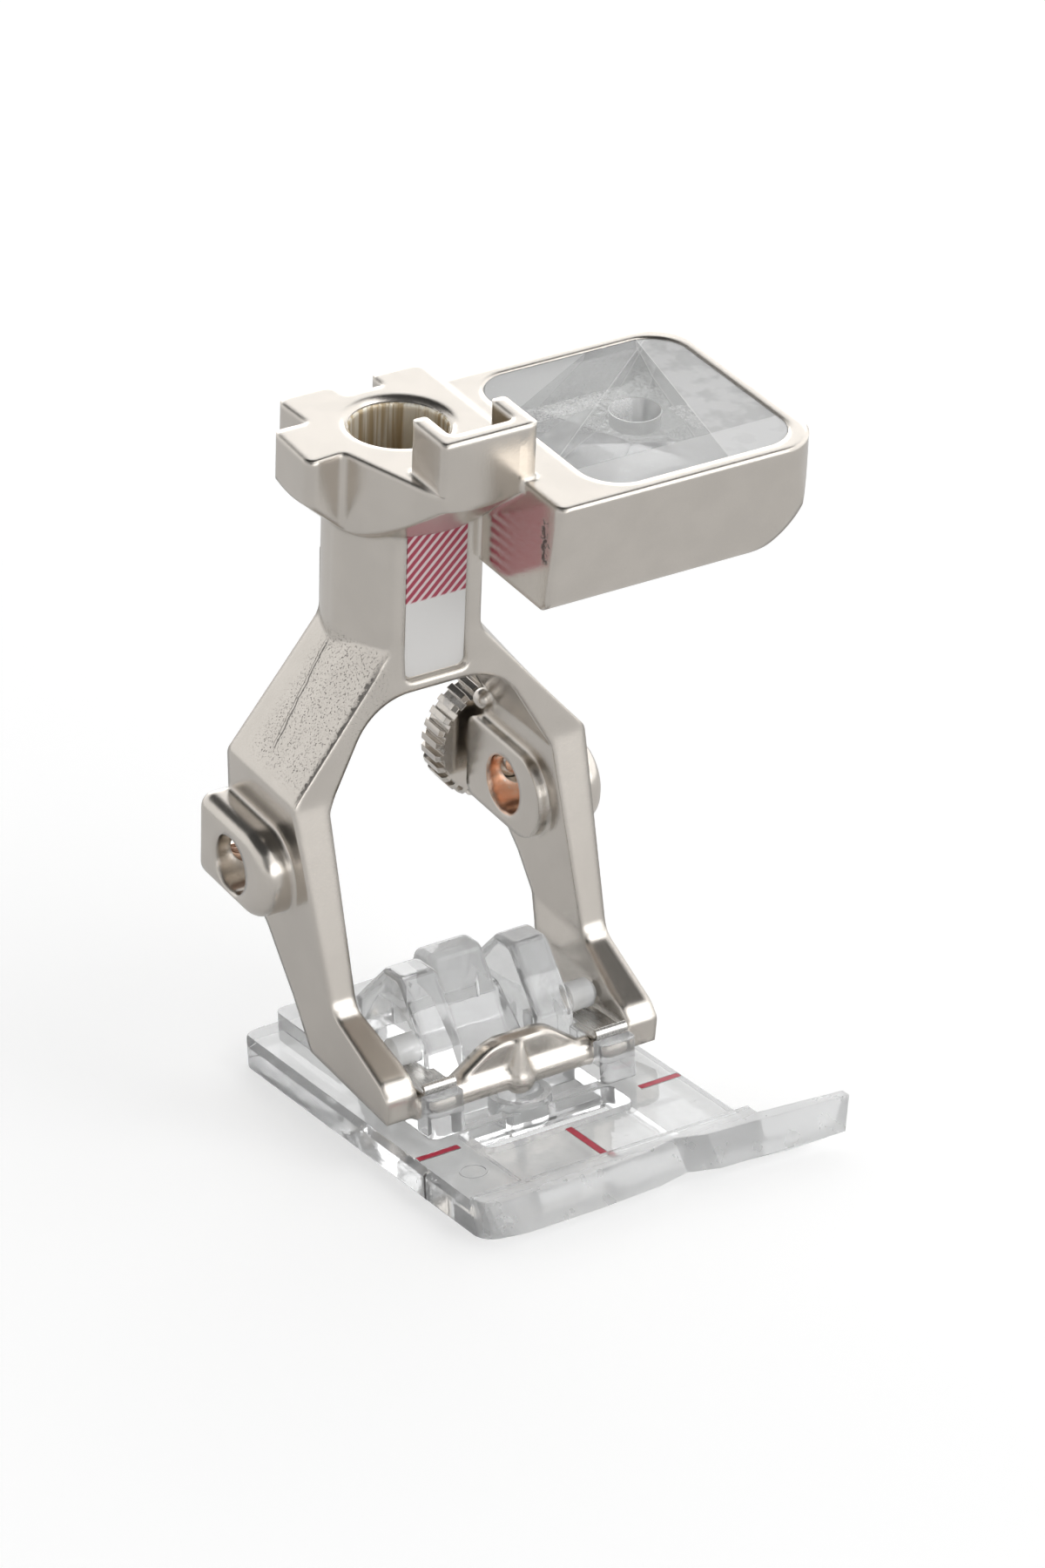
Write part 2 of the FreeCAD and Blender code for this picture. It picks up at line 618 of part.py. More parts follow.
label_recess = slab("label_recess", "XZ_Plane", [
    ("-label_half - label_margin", "label_bottom - label_margin", "small_round"),
    ("label_half + label_margin", "label_bottom - label_margin", "small_round"),
    ("label_half + label_margin", "label_top + label_margin", "tiny_round"),
    ("-label_half - label_margin", "label_top + label_margin", "tiny_round"),
], "pad_front - pad_half", "pad_front + label_depth")


# Lens housing: plan, front and side outlines cut to their common volume. The window's
# cavity is drawn the same way with the walls set in, and so is the room for the prism.

def housing(name, shrink, left, bottom, top, plan_round, left_round):
    """Common volume of the three outlines, their outer walls set in by shrink."""
    right = "lens_right - (%s)" % shrink
    front = "lens_front + (%s)" % shrink
    back = "lens_back - (%s)" % shrink
    plan = slab(name + "_plan", "XY_Plane", [
        (left, front, left_round),
        (right, front, plan_round),
        (right, back, plan_round),
        (left, back, left_round),
    ], bottom, top)
    face = slab(name + "_face", "XZ_Plane", [
        (left, bottom, "0"),
        (right + " - lens_keel_in", bottom, "lens_keel - (%s)" % shrink),
        (right, top, "0"),
        (left, top, "0"),
    ], front, back)
    side = slab(name + "_side", "YZ_Plane", [
        (front + " + lens_draft", bottom, "cast_round"),
        (back + " - lens_draft", bottom, "cast_round"),
        (back, top, "0"),
        (front, top, "0"),
    ], left, right)
    return shared(name, [plan, face, side])


housing_shell = housing("housing_shell", "0", "lens_left", "lens_bottom", "lens_top",
                        "lens_corner", "small_round")
cavity = housing("cavity", "lens_wall", "window_left", "lens_bottom + lens_floor",
                 "lens_top + skin", "window_round", "window_round")
frame_solid = joined("frame_solid", [
    legs, boss_right, boss_left, bar, web, pintle, pintle_foot, nub,
    column, label_pad, head, fence, housing_shell,
])
frame_voids = joined("frame_voids", [
    rod_hole, tap_right, tap_left, bore, bore_mouth, label_recess, cavity,
])
frame = node(lean(carved("frame", frame_solid, frame_voids)), "frame")

# Prism in the window: a flat cover with four large facets below and a blind hole.

prism_room = housing("prism_room", "lens_wall + run_gap", "window_left + run_gap",
                     "lens_bottom + lens_floor", "lens_top + skin",
                     "window_round - run_gap", "window_round - run_gap")
cover_low = "lens_top - window_sink - window_thick"
window_right = "lens_right - lens_wall"
window_front = "lens_front + lens_wall"
window_back = "lens_back - lens_wall"
cover = block("cover", ("window_left", window_front, cover_low),
              (window_right, window_back, "lens_top - window_sink"))
middle_x = "(window_left + %s) / 2" % window_right
middle_y = "(%s + %s) / 2" % (window_front, window_back)


def facet_ring(left, right, front, back):
    return [(left, front, "0"), (right, front, "0"), (right, back, "0"), (left, back, "0")]


facets = stack("facets", "XY_Plane", [
    (cover_low, facet_ring(
        "window_left + facet_margin + run_gap", window_right + " - facet_margin - run_gap",
        window_front + " + facet_margin + run_gap", window_back + " - facet_margin - run_gap")),
    (cover_low + " - facet_depth", facet_ring(
        middle_x + " - facet_flat", middle_x + " + facet_flat",
        middle_y + " - facet_flat", middle_y + " + facet_flat")),
])
prism_body = joined("prism_body", [cover, facets])
stud = rod("stud", "stud_radius", "stud_depth + skin",
           (middle_x, middle_y, "lens_top - window_sink - stud_depth"), "Z")
prism_block = shared("prism_block", [prism_body, prism_room])
node(lean(carved("lens_prism", prism_block, stud)), "lens_prism")

# Printed label in its recess.

label = slab("label", "XZ_Plane", [
    ("-label_half", "label_bottom", "small_round"),
    ("label_half", "label_bottom", "small_round"),
    ("label_half", "label_top", "tiny_round"),
    ("-label_half", "label_top", "tiny_round"),
], "pad_front + label_depth - label_thick", "pad_front + label_depth")
node(lean(label), "label")

# Clamp screw in the right boss: knurled head, shank and a cone at its end.

knob_front = "boss_back + knob_gap"
knob = doc.addObject("PartDesign::Body", "knob")
knob_circle = blank_sketch(knob, "XZ_Plane", "knob_circle", minus(knob_front + " + knob_thick"))
knob_circle.addGeometry(Part.Circle(Vector(), Vector(0, 0, 1), value_of("knob_radius")))
knob_circle.addConstraint(Sketcher.Constraint("Coincident", 0, 3, -1, 1))
knob_circle.addConstraint(Sketcher.Constraint("Radius", 0, value_of("knob_radius")))
knob_circle.setExpression("Constraints[1]", cell("knob_radius"))
knob_disc = knob.newObject("PartDesign::Pad", "knob_disc")
knob_disc.Profile = knob_circle
bind(knob_disc, Length="knob_thick")
knob.Tip = knob_disc
doc.recompute()
knob_edge = knob.newObject("PartDesign::Chamfer", "knob_edge")
knob_edge.Base = (knob_disc, [
    "Edge%d" % number
    for number, edge in enumerate(knob_disc.Shape.Edges, start=1)
    if isinstance(edge.Curve, Part.Circle)
])
bind(knob_edge, Size="knob_bevel")
knob.Tip = knob_edge
doc.recompute()
notch_half = "knob_radius * pi / knob_teeth / 2"
notch_sketch = outline(knob, "XZ_Plane", [
    (minus(notch_half), "knob_radius - knob_notch", "0"),
    (notch_half, "knob_radius - knob_notch", "0"),
    (notch_half, "knob_radius + skin", "0"),
    (minus(notch_half), "knob_radius + skin", "0"),
], minus(knob_front + " - skin"))
notch = knob.newObject("PartDesign::Pocket", "notch")
notch.Profile = notch_sketch
bind(notch, Length="knob_thick + 2 * skin")
knob.Tip = notch
doc.recompute()
knurl = knob.newObject("PartDesign::PolarPattern", "knurl")
knurl.Originals = [notch]
knurl.Axis = (notch_sketch, ["N_Axis"])
knurl.Angle = 360
bind(knurl, Occurrences="knob_teeth")
knob.Tip = knurl
bind(knob, Placement__Base__x="tap_x", Placement__Base__z="rod_height")
shank_end = "rod_y + rod_radius + shank_clear"
shank = rod("shank", "tap_radius - run_gap",
            knob_front + " + skin - (%s) - shank_tip" % shank_end,
            ("tap_x", shank_end + " + shank_tip", "rod_height"), "Y")
shank_point = funnel("shank_point", "tap_radius - run_gap - shank_tip", "tap_radius - run_gap",
                     "shank_tip", ("tap_x", shank_end, "rod_height"), "Y")
node(lean(joined("thumb_screw", [knob, shank, shank_point])), "thumb_screw")

# Clear sole: flat plate, upturned lip with the long toe, pedestals with open bearings
# for the cross bar, cheeks with the pins over the springs, saddle, deck and cup.

plate_plan = slab("plate_plan", "XY_Plane", [
    ("sole_half", "-sole_front", "0"),
    ("sole_half", "sole_back", "sole_corner"),
    ("-sole_half", "sole_back", "sole_corner"),
    ("-sole_half", "-sole_front", "0"),
], "0", "sole_thick")
plate_face = slab("plate_face", "XZ_Plane", mirrored([
    ("sole_half - sole_bevel", "sole_thick", "0"),
    ("sole_half", "sole_thick - sole_bevel", "0"),
    ("sole_half", "0", "0"),
]), "-sole_front", "sole_back")
plate = shared("plate", [plate_plan, plate_face])


def lip_level(rear, back_shift, end_shift):
    """Plan of the lip and the toe; the front draws back and the toe's end draws in."""
    front = "-lip_reach + (%s)" % back_shift
    toe_end = "toe_reach - (%s)" % end_shift
    radius = "(lip_round - (%s) / 2)" % back_shift
    bend = [
        ("-sole_half + %s * (1 - cos(%g * 1 deg))" % (radius, turn),
         front + " + %s * (1 - sin(%g * 1 deg))" % (radius, turn), "0")
        for turn in (0, 15, 30, 45, 60, 75, 90)
    ]
    return [("-sole_half", minus(rear), "0")] + bend + [
        ("-lip_crest", front, "0"),
        ("dip_x - dip_slope", front + " + dip_start", "0"),
        ("dip_x", front + " + dip_depth", "0"),
        ("dip_x + dip_shoulder", front, "0"),
        (toe_end, "-toe_front + (%s) * toe_front_share" % back_shift, "0"),
        (toe_end, "-toe_back + (%s) * toe_back_share" % back_shift, "0"),
        ("sole_half", "-toe_root + (%s) * toe_back_share" % back_shift, "0"),
        ("sole_half", minus(rear), "0"),
    ]


lip = stack("lip", "XY_Plane", [
    ("lip_height", lip_level("lip_root + lip_slope", "lip_scoop", "0")),
    ("lip_belly", lip_level("lip_root", "0", "toe_belly")),
    ("0", lip_level("lip_root", "lip_sweep", "toe_rise")),
])


def sides(make, name):
    """The same piece on the right and on the left."""
    return [make(name + "_right", lambda low, high: (low, high)),
            make(name + "_left", lambda low, high: (minus(high), minus(low)))]


pedestal_outer = "foot_inner - side_gap"
leaf_low = "bar_height + bar_radius + rest_gap"


def pedestal(name, span):
    low, high = span("pedestal_inner", pedestal_outer)
    return slab(name, "XY_Plane", [
        (low, "-pedestal_front", "small_round"),
        (high, "-pedestal_front", "small_round"),
        (high, "pedestal_back", "small_round"),
        (low, "pedestal_back", "small_round"),
    ], "sole_thick - skin", leaf_low)


def cheek(name, span):
    low, high = span("cheek_inner", "cheek_outer")
    block_body = slab(name, "YZ_Plane", [
        ("cheek_front", "sole_thick - skin", "0"),
        ("cheek_back", "sole_thick - skin", "0"),
        ("cheek_back", "cheek_tail", "broad_round"),
        ("cheek_top_back", "cheek_top", "cast_round"),
        ("cheek_top_front", "cheek_top", "cast_round"),
        ("cheek_front", "cheek_brow", "small_round"),
    ], low, high)
    return round_rims(block_body, [low, high], "rim_round", "sole_thick")


pin_height = leaf_low + " + leaf_thick + leaf_play + pin_radius"


def pin(name, span):
    low, high = span("cheek_outer - skin", "pin_reach - pin_round")
    return rod(name, "pin_radius", "pin_reach - pin_round - cheek_outer + skin",
               (low, "pin_y", pin_height), "X")


def pin_end(name, span):
    """Cone that ends a pin; its wide end meets the pin."""
    low, high = span("pin_reach - pin_round", "pin_reach")
    ends = ["pin_radius", "pin_radius - pin_round"]
    if value_of(low) < 0:
        ends.reverse()
    return funnel(name, ends[0], ends[1], "pin_round", (low, "pin_y", pin_height), "X")


def ridge(name, top_front, top_back, top, low, high):
    """Block between the cheeks, with one slope to the front and one to the rear."""
    return slab(name, "YZ_Plane", [
        ("saddle_front", "sole_thick - skin", "0"),
        ("cheek_back", "sole_thick - skin", "0"),
        ("cheek_back", "saddle_tail", "cast_round"),
        (top_back, top, "cast_round"),
        (top_front, top, "cast_round"),
        ("saddle_front", "saddle_brow", "small_round"),
    ], low, high)


saddle = ridge("saddle", "saddle_top_front", "saddle_top_back", "saddle_top",
               "-cheek_inner - skin", "cheek_inner + skin")
crown = round_rims(
    ridge("crown", "crown_front", "crown_back", "crown_top", "-crown_half", "crown_half"),
    ["-crown_half", "crown_half"], "rim_round", "sole_thick")
deck = slab("deck", "XY_Plane", [
    ("-deck_half", "deck_front", "0"),
    ("deck_half", "deck_front", "0"),
    ("deck_half", "sole_back", "cast_round"),
    ("-deck_half", "sole_back", "cast_round"),
], "sole_thick - skin", "deck_top")
cup_spot = ("-pintle_shift", "-pintle_front")
cup = rod("cup", "cup_outer", "cup_top - recess_floor + skin",
          cup_spot + ("recess_floor - skin",), "Z")
sole_base = joined("sole_base", [plate, lip] + sides(pedestal, "pedestal")
                   + sides(cheek, "cheek") + sides(pin, "pin") + sides(pin_end, "pin_end")
                   + [saddle, crown, deck])

needle_slot = slab("needle_slot", "XY_Plane", [
    ("-slot_half", "-slot_front", "slot_round"),
    ("slot_half", "-slot_front", "slot_round"),
    ("slot_half", "-slot_back", "slot_round"),
    ("-slot_half", "-slot_back", "slot_round"),
], "-skin", "sole_thick + skin")
channel = block("channel", ("-channel_half", "-channel_front", "-skin"),
                ("channel_half", "-channel_back", "channel_depth"))
bar_recess = block("bar_recess", ("-pedestal_inner", "-recess_front", "recess_floor"),
                   ("pedestal_inner", "recess_back", "sole_thick + skin"))
bearing = rod("bearing", "bar_radius + run_gap", "2 * foot_inner",
              ("-foot_inner", "0", "bar_height"), "X")
bearing_mouth = block("bearing_mouth", ("-foot_inner", "-bar_radius - run_gap", "bar_height"),
                      ("foot_inner", "bar_radius + run_gap", leaf_low + " + skin"))


def groove(name, low, high, top):
    return block(name, low + ("sole_thick - mark_depth",), high + (top,))


def side_mark(span, top):
    def make(name, around):
        low, high = around("mark_inner", "mark_outer")
        return groove(name, (low, "-mark_y - mark_width / 2"),
                      (high, "-mark_y + mark_width / 2"), top)
    return sides(make, span)


def centre_mark(name, top):
    return groove(name, ("centre_mark_x - mark_width / 2", "-centre_mark_front"),
                  ("centre_mark_x + mark_width / 2", "-centre_mark_back"), top)


grooves = side_mark("groove", "sole_thick + skin")
grooves += [centre_mark("groove_centre", "sole_thick + skin")]
sole_cuts = joined("sole_cuts", [
    needle_slot, channel, bar_recess, bearing, bearing_mouth,
] + grooves)
sole_body = carved("sole_body", sole_base, sole_cuts)
cup_hollow = rod("cup_hollow", "cup_inner", "cup_top",
                 cup_spot + ("recess_floor",), "Z")
cup_ring = carved("cup_ring", cup, cup_hollow)
node(joined("clear_sole", [sole_body, cup_ring]), "clear_sole")

for mark, side in zip(side_mark("paint", "sole_thick"), ("right", "left")):
    node(mark, "mark_" + side)
node(centre_mark("paint_centre", "sole_thick"), "mark_centre")


# Leaf springs on the pedestals: a thin strip with a rolled front edge, kept down by the pin.

def leaf(name, span):
    low, high = span("pedestal_inner + leaf_inset", pedestal_outer + " - leaf_inset")
    tail_low, tail_high = span("cheek_outer + leaf_inset", pedestal_outer + " - leaf_inset")
    strip = block(name + "_strip", (low, "-leaf_front", leaf_low),
                  (high, "cheek_front - leaf_inset", leaf_low + " + leaf_thick"))
    tail = block(name + "_tail", (tail_low, "-leaf_front", leaf_low),
                 (tail_high, "leaf_back", leaf_low + " + leaf_thick"))
    width = "%s - leaf_inset - (pedestal_inner + leaf_inset)" % pedestal_outer
    spot = (low, "-leaf_front", leaf_low + " + leaf_curl")
    roll = rod(name + "_roll", "leaf_curl", width, spot, "X")
    hollow = rod(name + "_hollow", "leaf_curl - leaf_thick", width, spot, "X")
    tube = carved(name + "_tube", roll, hollow)
    half = block(name + "_half", (low, "-leaf_front - leaf_curl - skin", leaf_low),
                 (high, "-leaf_front", leaf_low + " + 2 * leaf_curl"))
    curl = shared(name + "_curl", [tube, half])
    return joined(name, [strip, tail, curl])


for spring, side in zip(sides(leaf, "leaf"), ("right", "left")):
    node(spring, "leaf_spring_" + side)

doc.recompute()
for item in doc.Objects:
    trouble = [word for word in item.State if word in ("Invalid", "Error")]
    if trouble:
        raise RuntimeError("%s: %s %s" % (item.Name, trouble, item.getStatusString()))
for item in nodes:
    shape = item.Shape
    if shape.isNull() or not shape.isValid() or not shape.Solids or shape.Volume <= 0:
        raise RuntimeError("no sound solid: " + item.Label)
os.makedirs("parts", exist_ok=True)
for item in nodes:
    item.Shape.exportStep("parts/%s.step" % item.Label)
    box = item.Shape.BoundBox
    print(item.Label, len(item.Shape.Solids), round(item.Shape.Volume, 2),
          [round(v, 2) for v in (box.XMin, box.XMax, box.YMin, box.YMax, box.ZMin, box.ZMax)])
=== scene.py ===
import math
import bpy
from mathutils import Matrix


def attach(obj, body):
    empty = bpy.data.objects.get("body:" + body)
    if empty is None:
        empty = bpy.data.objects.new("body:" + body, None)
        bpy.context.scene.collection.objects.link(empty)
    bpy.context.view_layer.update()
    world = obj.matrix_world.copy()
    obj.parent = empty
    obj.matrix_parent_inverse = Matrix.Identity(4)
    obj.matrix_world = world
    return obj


bl_info = {
    "name": "Presser Foot Dresser",
    "version": (1, 0, 0),
    "blender": (4, 5, 0),
    "location": "View3D > Sidebar > Presser Foot",
    "description": "Finishes, fine threads and a studio stage for a presser foot with a clear sole",
    "category": "Object",
}

import bpy
import numpy as np
from bpy.props import FloatProperty, FloatVectorProperty, IntProperty, PointerProperty
from bpy.types import Operator, Panel, PropertyGroup
from mathutils import Matrix, Vector

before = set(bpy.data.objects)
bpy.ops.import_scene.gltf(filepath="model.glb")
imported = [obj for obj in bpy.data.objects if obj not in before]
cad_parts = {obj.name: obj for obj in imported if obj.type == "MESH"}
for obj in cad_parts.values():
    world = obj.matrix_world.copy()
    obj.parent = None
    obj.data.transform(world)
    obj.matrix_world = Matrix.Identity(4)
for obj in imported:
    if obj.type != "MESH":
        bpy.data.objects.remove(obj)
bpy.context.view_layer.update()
MM = 0.001

# The yoke's own upright frame: origin on the cross bar's axis, leaning forward at rest.
BAR_HEIGHT = 3.35
LEAN = math.radians(8.5)

# Places and sizes in that frame, in millimetres, as in the CAD's sheet.
SOCKET_Y = 15.3
SOCKET_RADIUS = 2.85
ROD_Y, ROD_Z = 13.7, 10.2
ROD_RADIUS = 1.85
TAP_X = 9.3
TAP_RADIUS = 1.3
SHANK_RADIUS = 1.27
BOSS_BACK = 17.8
KNOB_GAP = 0.7
HOUSING_LEFT, HOUSING_RIGHT = 2.8, 20.9
HOUSING_FRONT, HOUSING_BACK = 2.3, 19.0
HOUSING_TOP, HOUSING_HEIGHT = 35.45, 7.15
HOUSING_WALL, HOUSING_FLOOR = 0.95, 1.1
HOUSING_DRAFT, HOUSING_END_DRAFT = 1.1, 1.7
WINDOW_LEFT = 6.2
WINDOW_X = (WINDOW_LEFT + HOUSING_RIGHT - HOUSING_WALL) / 2
WINDOW_Y = (HOUSING_FRONT + HOUSING_BACK) / 2
STUD_RADIUS = 1.5

# The label's stripes: the height where they start, and the distance from one to the next.
STRIPE_FOOT = 26.5
STRIPE_PITCH = 0.66

# Small marks: a pit in the head, and in plan the gate's ring and a dark speck on the sole.
PIT = (-2.3, 13.9, 31.5)
GATE = (-7.1, -6.46)
SPECK = (-9.35, -4.8)


def from_yoke(points):
    """Row-frame metres of points given in the yoke's frame in millimetres.

    y' = y cos(lean) - z sin(lean), z' = bar height + y sin(lean) + z cos(lean).
    """
    x, y, z = np.moveaxis(np.asarray(points, float), -1, 0)
    depth = y * math.cos(LEAN) - z * math.sin(LEAN)
    height = BAR_HEIGHT + y * math.sin(LEAN) + z * math.cos(LEAN)
    return np.stack([x, depth, height], axis=-1) * MM


class FinishSizes(PropertyGroup):
    nickel: FloatVectorProperty(
        name="Nickel plating", description="Colour of the plated casting", subtype="COLOR",
        size=3, min=0, max=1, default=(0.71, 0.665, 0.61))
    copper: FloatVectorProperty(
        name="Bare bore", description="Colour inside the drilled holes", subtype="COLOR",
        size=3, min=0, max=1, default=(0.78, 0.54, 0.41))
    brass: FloatVectorProperty(
        name="Bore streaks", description="Colour of the drawn streaks in the head's socket",
        subtype="COLOR", size=3, min=0, max=1, default=(0.60, 0.48, 0.31))
    plastic: FloatVectorProperty(
        name="Clear plastic", description="Tint of the clear sole", subtype="COLOR",
        size=3, min=0, max=1, default=(0.90, 0.905, 0.905))
    crimson: FloatVectorProperty(
        name="Stripe", description="Colour of the label's slanted stripes", subtype="COLOR",
        size=3, min=0, max=1, default=(0.36, 0.052, 0.085))
    blush: FloatVectorProperty(
        name="Label ground", description="Colour between the stripes", subtype="COLOR",
        size=3, min=0, max=1, default=(0.80, 0.66, 0.67))
    paint: FloatVectorProperty(
        name="Groove paint", description="Paint in the sole's grooves", subtype="COLOR",
        size=3, min=0, max=1, default=(0.62, 0.022, 0.065))
    edge: FloatProperty(
        name="Cast edge", description="Radius at which the casting's edges are rounded",
        unit="LENGTH", subtype="DISTANCE", default=0.0006, min=0.0, precision=5)
    mould_edge: FloatProperty(
        name="Moulded edge", description="Radius at which the clear parts' edges are rounded",
        unit="LENGTH", subtype="DISTANCE", default=0.00012, min=0.0, precision=5)
    screw_edge: FloatProperty(
        name="Screw edge", description="Radius at which the screw's edges are rounded",
        unit="LENGTH", subtype="DISTANCE", default=0.00008, min=0.0, precision=5)
    spring_edge: FloatProperty(
        name="Spring edge", description="Radius at which the springs' edges are rounded",
        unit="LENGTH", subtype="DISTANCE", default=0.00004, min=0.0, precision=5)


class ThreadSizes(PropertyGroup):
    pitch: FloatProperty(
        name="Pitch", description="Rise of one turn, in millimetres", default=0.5, min=0.1)
    depth: FloatProperty(
        name="Depth", description="Height of the ridge, in millimetres", default=0.16, min=0.02)
    steps: IntProperty(
        name="Steps", description="Points along one turn", default=40, min=12)


class StageSizes(PropertyGroup):
    key: FloatProperty(name="Key light", description="Power of the low front light",
                       subtype="POWER", default=0.8, min=0)
    fill: FloatProperty(name="Fill light", description="Power of the high right light",
                        subtype="POWER", default=0.32, min=0)
    top: FloatProperty(name="Top light", description="Power of the light behind",
                       subtype="POWER", default=0.6, min=0)
    sky: FloatProperty(name="Room", description="Level of the pale walls all around",
                       default=1.15, min=0)
    floor: FloatProperty(name="Floor", description="Grey level of the floor", subtype="FACTOR",
                         default=0.68, min=0, max=1)


def as_value(item):
    """The socket of a reading, or the item itself."""
    return item.socket if isinstance(item, Reading) else item


class Reading:
    """A number read from a socket; operators on it add Math nodes."""

    def __init__(self, finish, socket):
        self.finish = finish
        self.socket = socket

    def math(self, operation, *others, flip=False):
        order = [self, *others]
        if flip:
            order.reverse()
        node = self.finish.add("ShaderNodeMath", {"operation": operation}, dict(enumerate(order)))
        return Reading(self.finish, node.outputs[0])

    def __add__(self, other):
        return self.math("ADD", other)

    __radd__ = __add__

    def __mul__(self, other):
        return self.math("MULTIPLY", other)

    __rmul__ = __mul__

    def __sub__(self, other):
        return self.math("SUBTRACT", other)

    def __rsub__(self, other):
        return self.math("SUBTRACT", other, flip=True)

    def size(self):
        return self.math("ABSOLUTE")

    def ramp(self, low, high):
        """0 below low, 1 above high and smooth between; low may be the larger one."""
        node = self.finish.add("ShaderNodeMapRange", {"interpolation_type": "SMOOTHSTEP"},
                               {0: self, 1: low, 2: high, 3: 0.0, 4: 1.0})
        return Reading(self.finish, node.outputs[0])


def within(reading, low, high, soft=0.05):
    """Mask that is 1 between two values and fades over soft on either side."""
    return reading.ramp(low - soft, low + soft) * (1 - reading.ramp(high - soft, high + soft))


def away(first, second, middle):
    """Distance from an axis: the root of the squares of both readings' distance from middle."""
    first, second = first - middle[0], second - middle[1]
    return (first * first + second * second).math("SQRT")


def off_line(first, second, point, slope):
    """How far first is above a line through the point, which rises by slope as second does."""
    return first - point[0] - (second - point[1]) * slope


class Tree:
    """A node tree under construction."""

    def __init__(self, owner):
        owner.use_nodes = True
        self.tree = owner.node_tree
        self.tree.nodes.clear()

    def add(self, kind, settings=None, values=None):
        """A node of a kind, with its settings and then its sockets' values or links."""
        node = self.tree.nodes.new(kind)
        for name, setting in (settings or {}).items():
            setattr(node, name, setting)
        for name, item in (values or {}).items():
            self.feed(node.inputs[name], item)
        return node

    def feed(self, socket, item):
        """Link a socket to an item, or set its value."""
        item = as_value(item)
        if isinstance(item, bpy.types.NodeSocket):
            self.tree.links.new(item, socket)
        else:
            socket.default_value = item

    def reading(self, node, output=0):
        return Reading(self, node.outputs[output])

    def axes(self, vector):
        """The three parts of a vector."""
        node = self.add("ShaderNodeSeparateXYZ", {}, {0: vector})
        return [self.reading(node, i) for i in range(3)]

    def blend(self, factor, first, second):
        """Colour that goes from the first to the second as the factor goes from 0 to 1."""
        node = self.add("ShaderNodeMix", {"data_type": "RGBA"}, {0: factor, 6: first, 7: second})
        return node.outputs[2]

    def mixed(self, factor, first, second):
        """Output of a shader that goes from the first shader to the second."""
        node = self.add("ShaderNodeMixShader", {}, {0: factor, 1: first, 2: second})
        return node.outputs[0]


class Finish(Tree):
    """A material under construction, with one Principled shader to start with."""

    def __init__(self, name):
        self.material = bpy.data.materials.new(name)
        super().__init__(self.material)
        self.shader = self.add("ShaderNodeBsdfPrincipled")
        self.surface = self.add("ShaderNodeOutputMaterial", {}, {"Surface": self.shader.outputs[0]})
        self.place = self.add("ShaderNodeTexCoord").outputs["Object"]

    def set(self, **values):
        """Feed the first shader's sockets, whose names have an underscore for each space."""
        for name, item in values.items():
            self.feed(self.shader.inputs[name.replace("_", " ")], item)

    def overlay(self, factor, **values):
        """A second Principled shader that shows where the factor is 1."""
        second = self.add("ShaderNodeBsdfPrincipled", {}, {
            name.replace("_", " "): item for name, item in values.items()})
        self.feed(self.surface.inputs[0],
                  self.mixed(factor, self.shader.outputs[0], second.outputs[0]))

    def yoke_place(self):
        """Object coordinates turned into the yoke's upright frame, in millimetres."""
        return self.add("ShaderNodeMapping", {"vector_type": "POINT"}, {
            "Vector": self.place, "Scale": (1000, 1000, 1000), "Rotation": (-LEAN, 0, 0),
            "Location": (0, -BAR_HEIGHT * math.sin(LEAN), -BAR_HEIGHT * math.cos(LEAN)),
        }).outputs[0]

    def row_place(self):
        """Object coordinates in millimetres."""
        return self.add("ShaderNodeMapping", {"vector_type": "POINT"}, {
            "Vector": self.place, "Scale": (1000, 1000, 1000)}).outputs[0]

    def noise(self, vector, scale, detail=2.0, rough=0.5, stretch=None):
        """Noise with scale waves in a millimetre, slower along an axis with a low stretch."""
        if stretch:
            vector = self.add("ShaderNodeMapping", {}, {
                "Vector": vector, "Scale": stretch}).outputs[0]
        return self.reading(self.add("ShaderNodeTexNoise", {}, {
            "Vector": vector, "Scale": scale, "Detail": detail, "Roughness": rough}))

    def cells(self, vector, scale):
        """Distance from the nearest of randomly strewn points."""
        return self.reading(self.add("ShaderNodeTexVoronoi", {}, {
            "Vector": vector, "Scale": scale}), "Distance")

    def spot(self, place, middle):
        """Distance from a point."""
        node = self.add("ShaderNodeVectorMath", {"operation": "DISTANCE"}, {0: place, 1: middle})
        return self.reading(node, "Value")

    def round_edges(self, radius):
        """Normal of a surface whose edges are rounded to a radius in metres."""
        return self.add("ShaderNodeBevel", {"samples": 8}, {"Radius": radius}).outputs[0]

    def edge_mask(self, rounded):
        """1 where the rounded normal leaves the face's own, 0 on flat ground."""
        flat = self.add("ShaderNodeNewGeometry").outputs["Normal"]
        node = self.add("ShaderNodeVectorMath", {"operation": "DOT_PRODUCT"}, {0: rounded, 1: flat})
        return self.reading(node, "Value").ramp(0.995, 0.93)

    def bump(self, height, strength=1.0, normal=None):
        """Normal of a surface with a relief whose height is in millimetres."""
        values = {"Height": height, "Distance": MM, "Strength": strength}
        if normal is not None:
            values["Normal"] = normal
        return self.add("ShaderNodeBump", {}, values).outputs[0]


def colour(values, level=1.0):
    """Four numbers for a colour socket: the colour times a level, and full alpha."""
    return (*(level * v for v in values), 1.0)


def cover(names, finish):
    """Give the CAD nodes of those names one finish."""
    for name in names:
        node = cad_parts[name]
        node.data.materials.clear()
        node.data.materials.append(finish.material)


def add_piece(name, vertices, faces, finish, body):
    """A new piece with a finish, riding on a body."""
    mesh = bpy.data.meshes.new(name)
    mesh.from_pydata(vertices.reshape(-1, 3).tolist(), [], faces.tolist())
    mesh.validate()
    mesh.shade_smooth()
    mesh.materials.append(finish.material)
    piece = bpy.data.objects.new(name, mesh)
    bpy.context.scene.collection.objects.link(piece)
    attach(piece, body)
    return piece


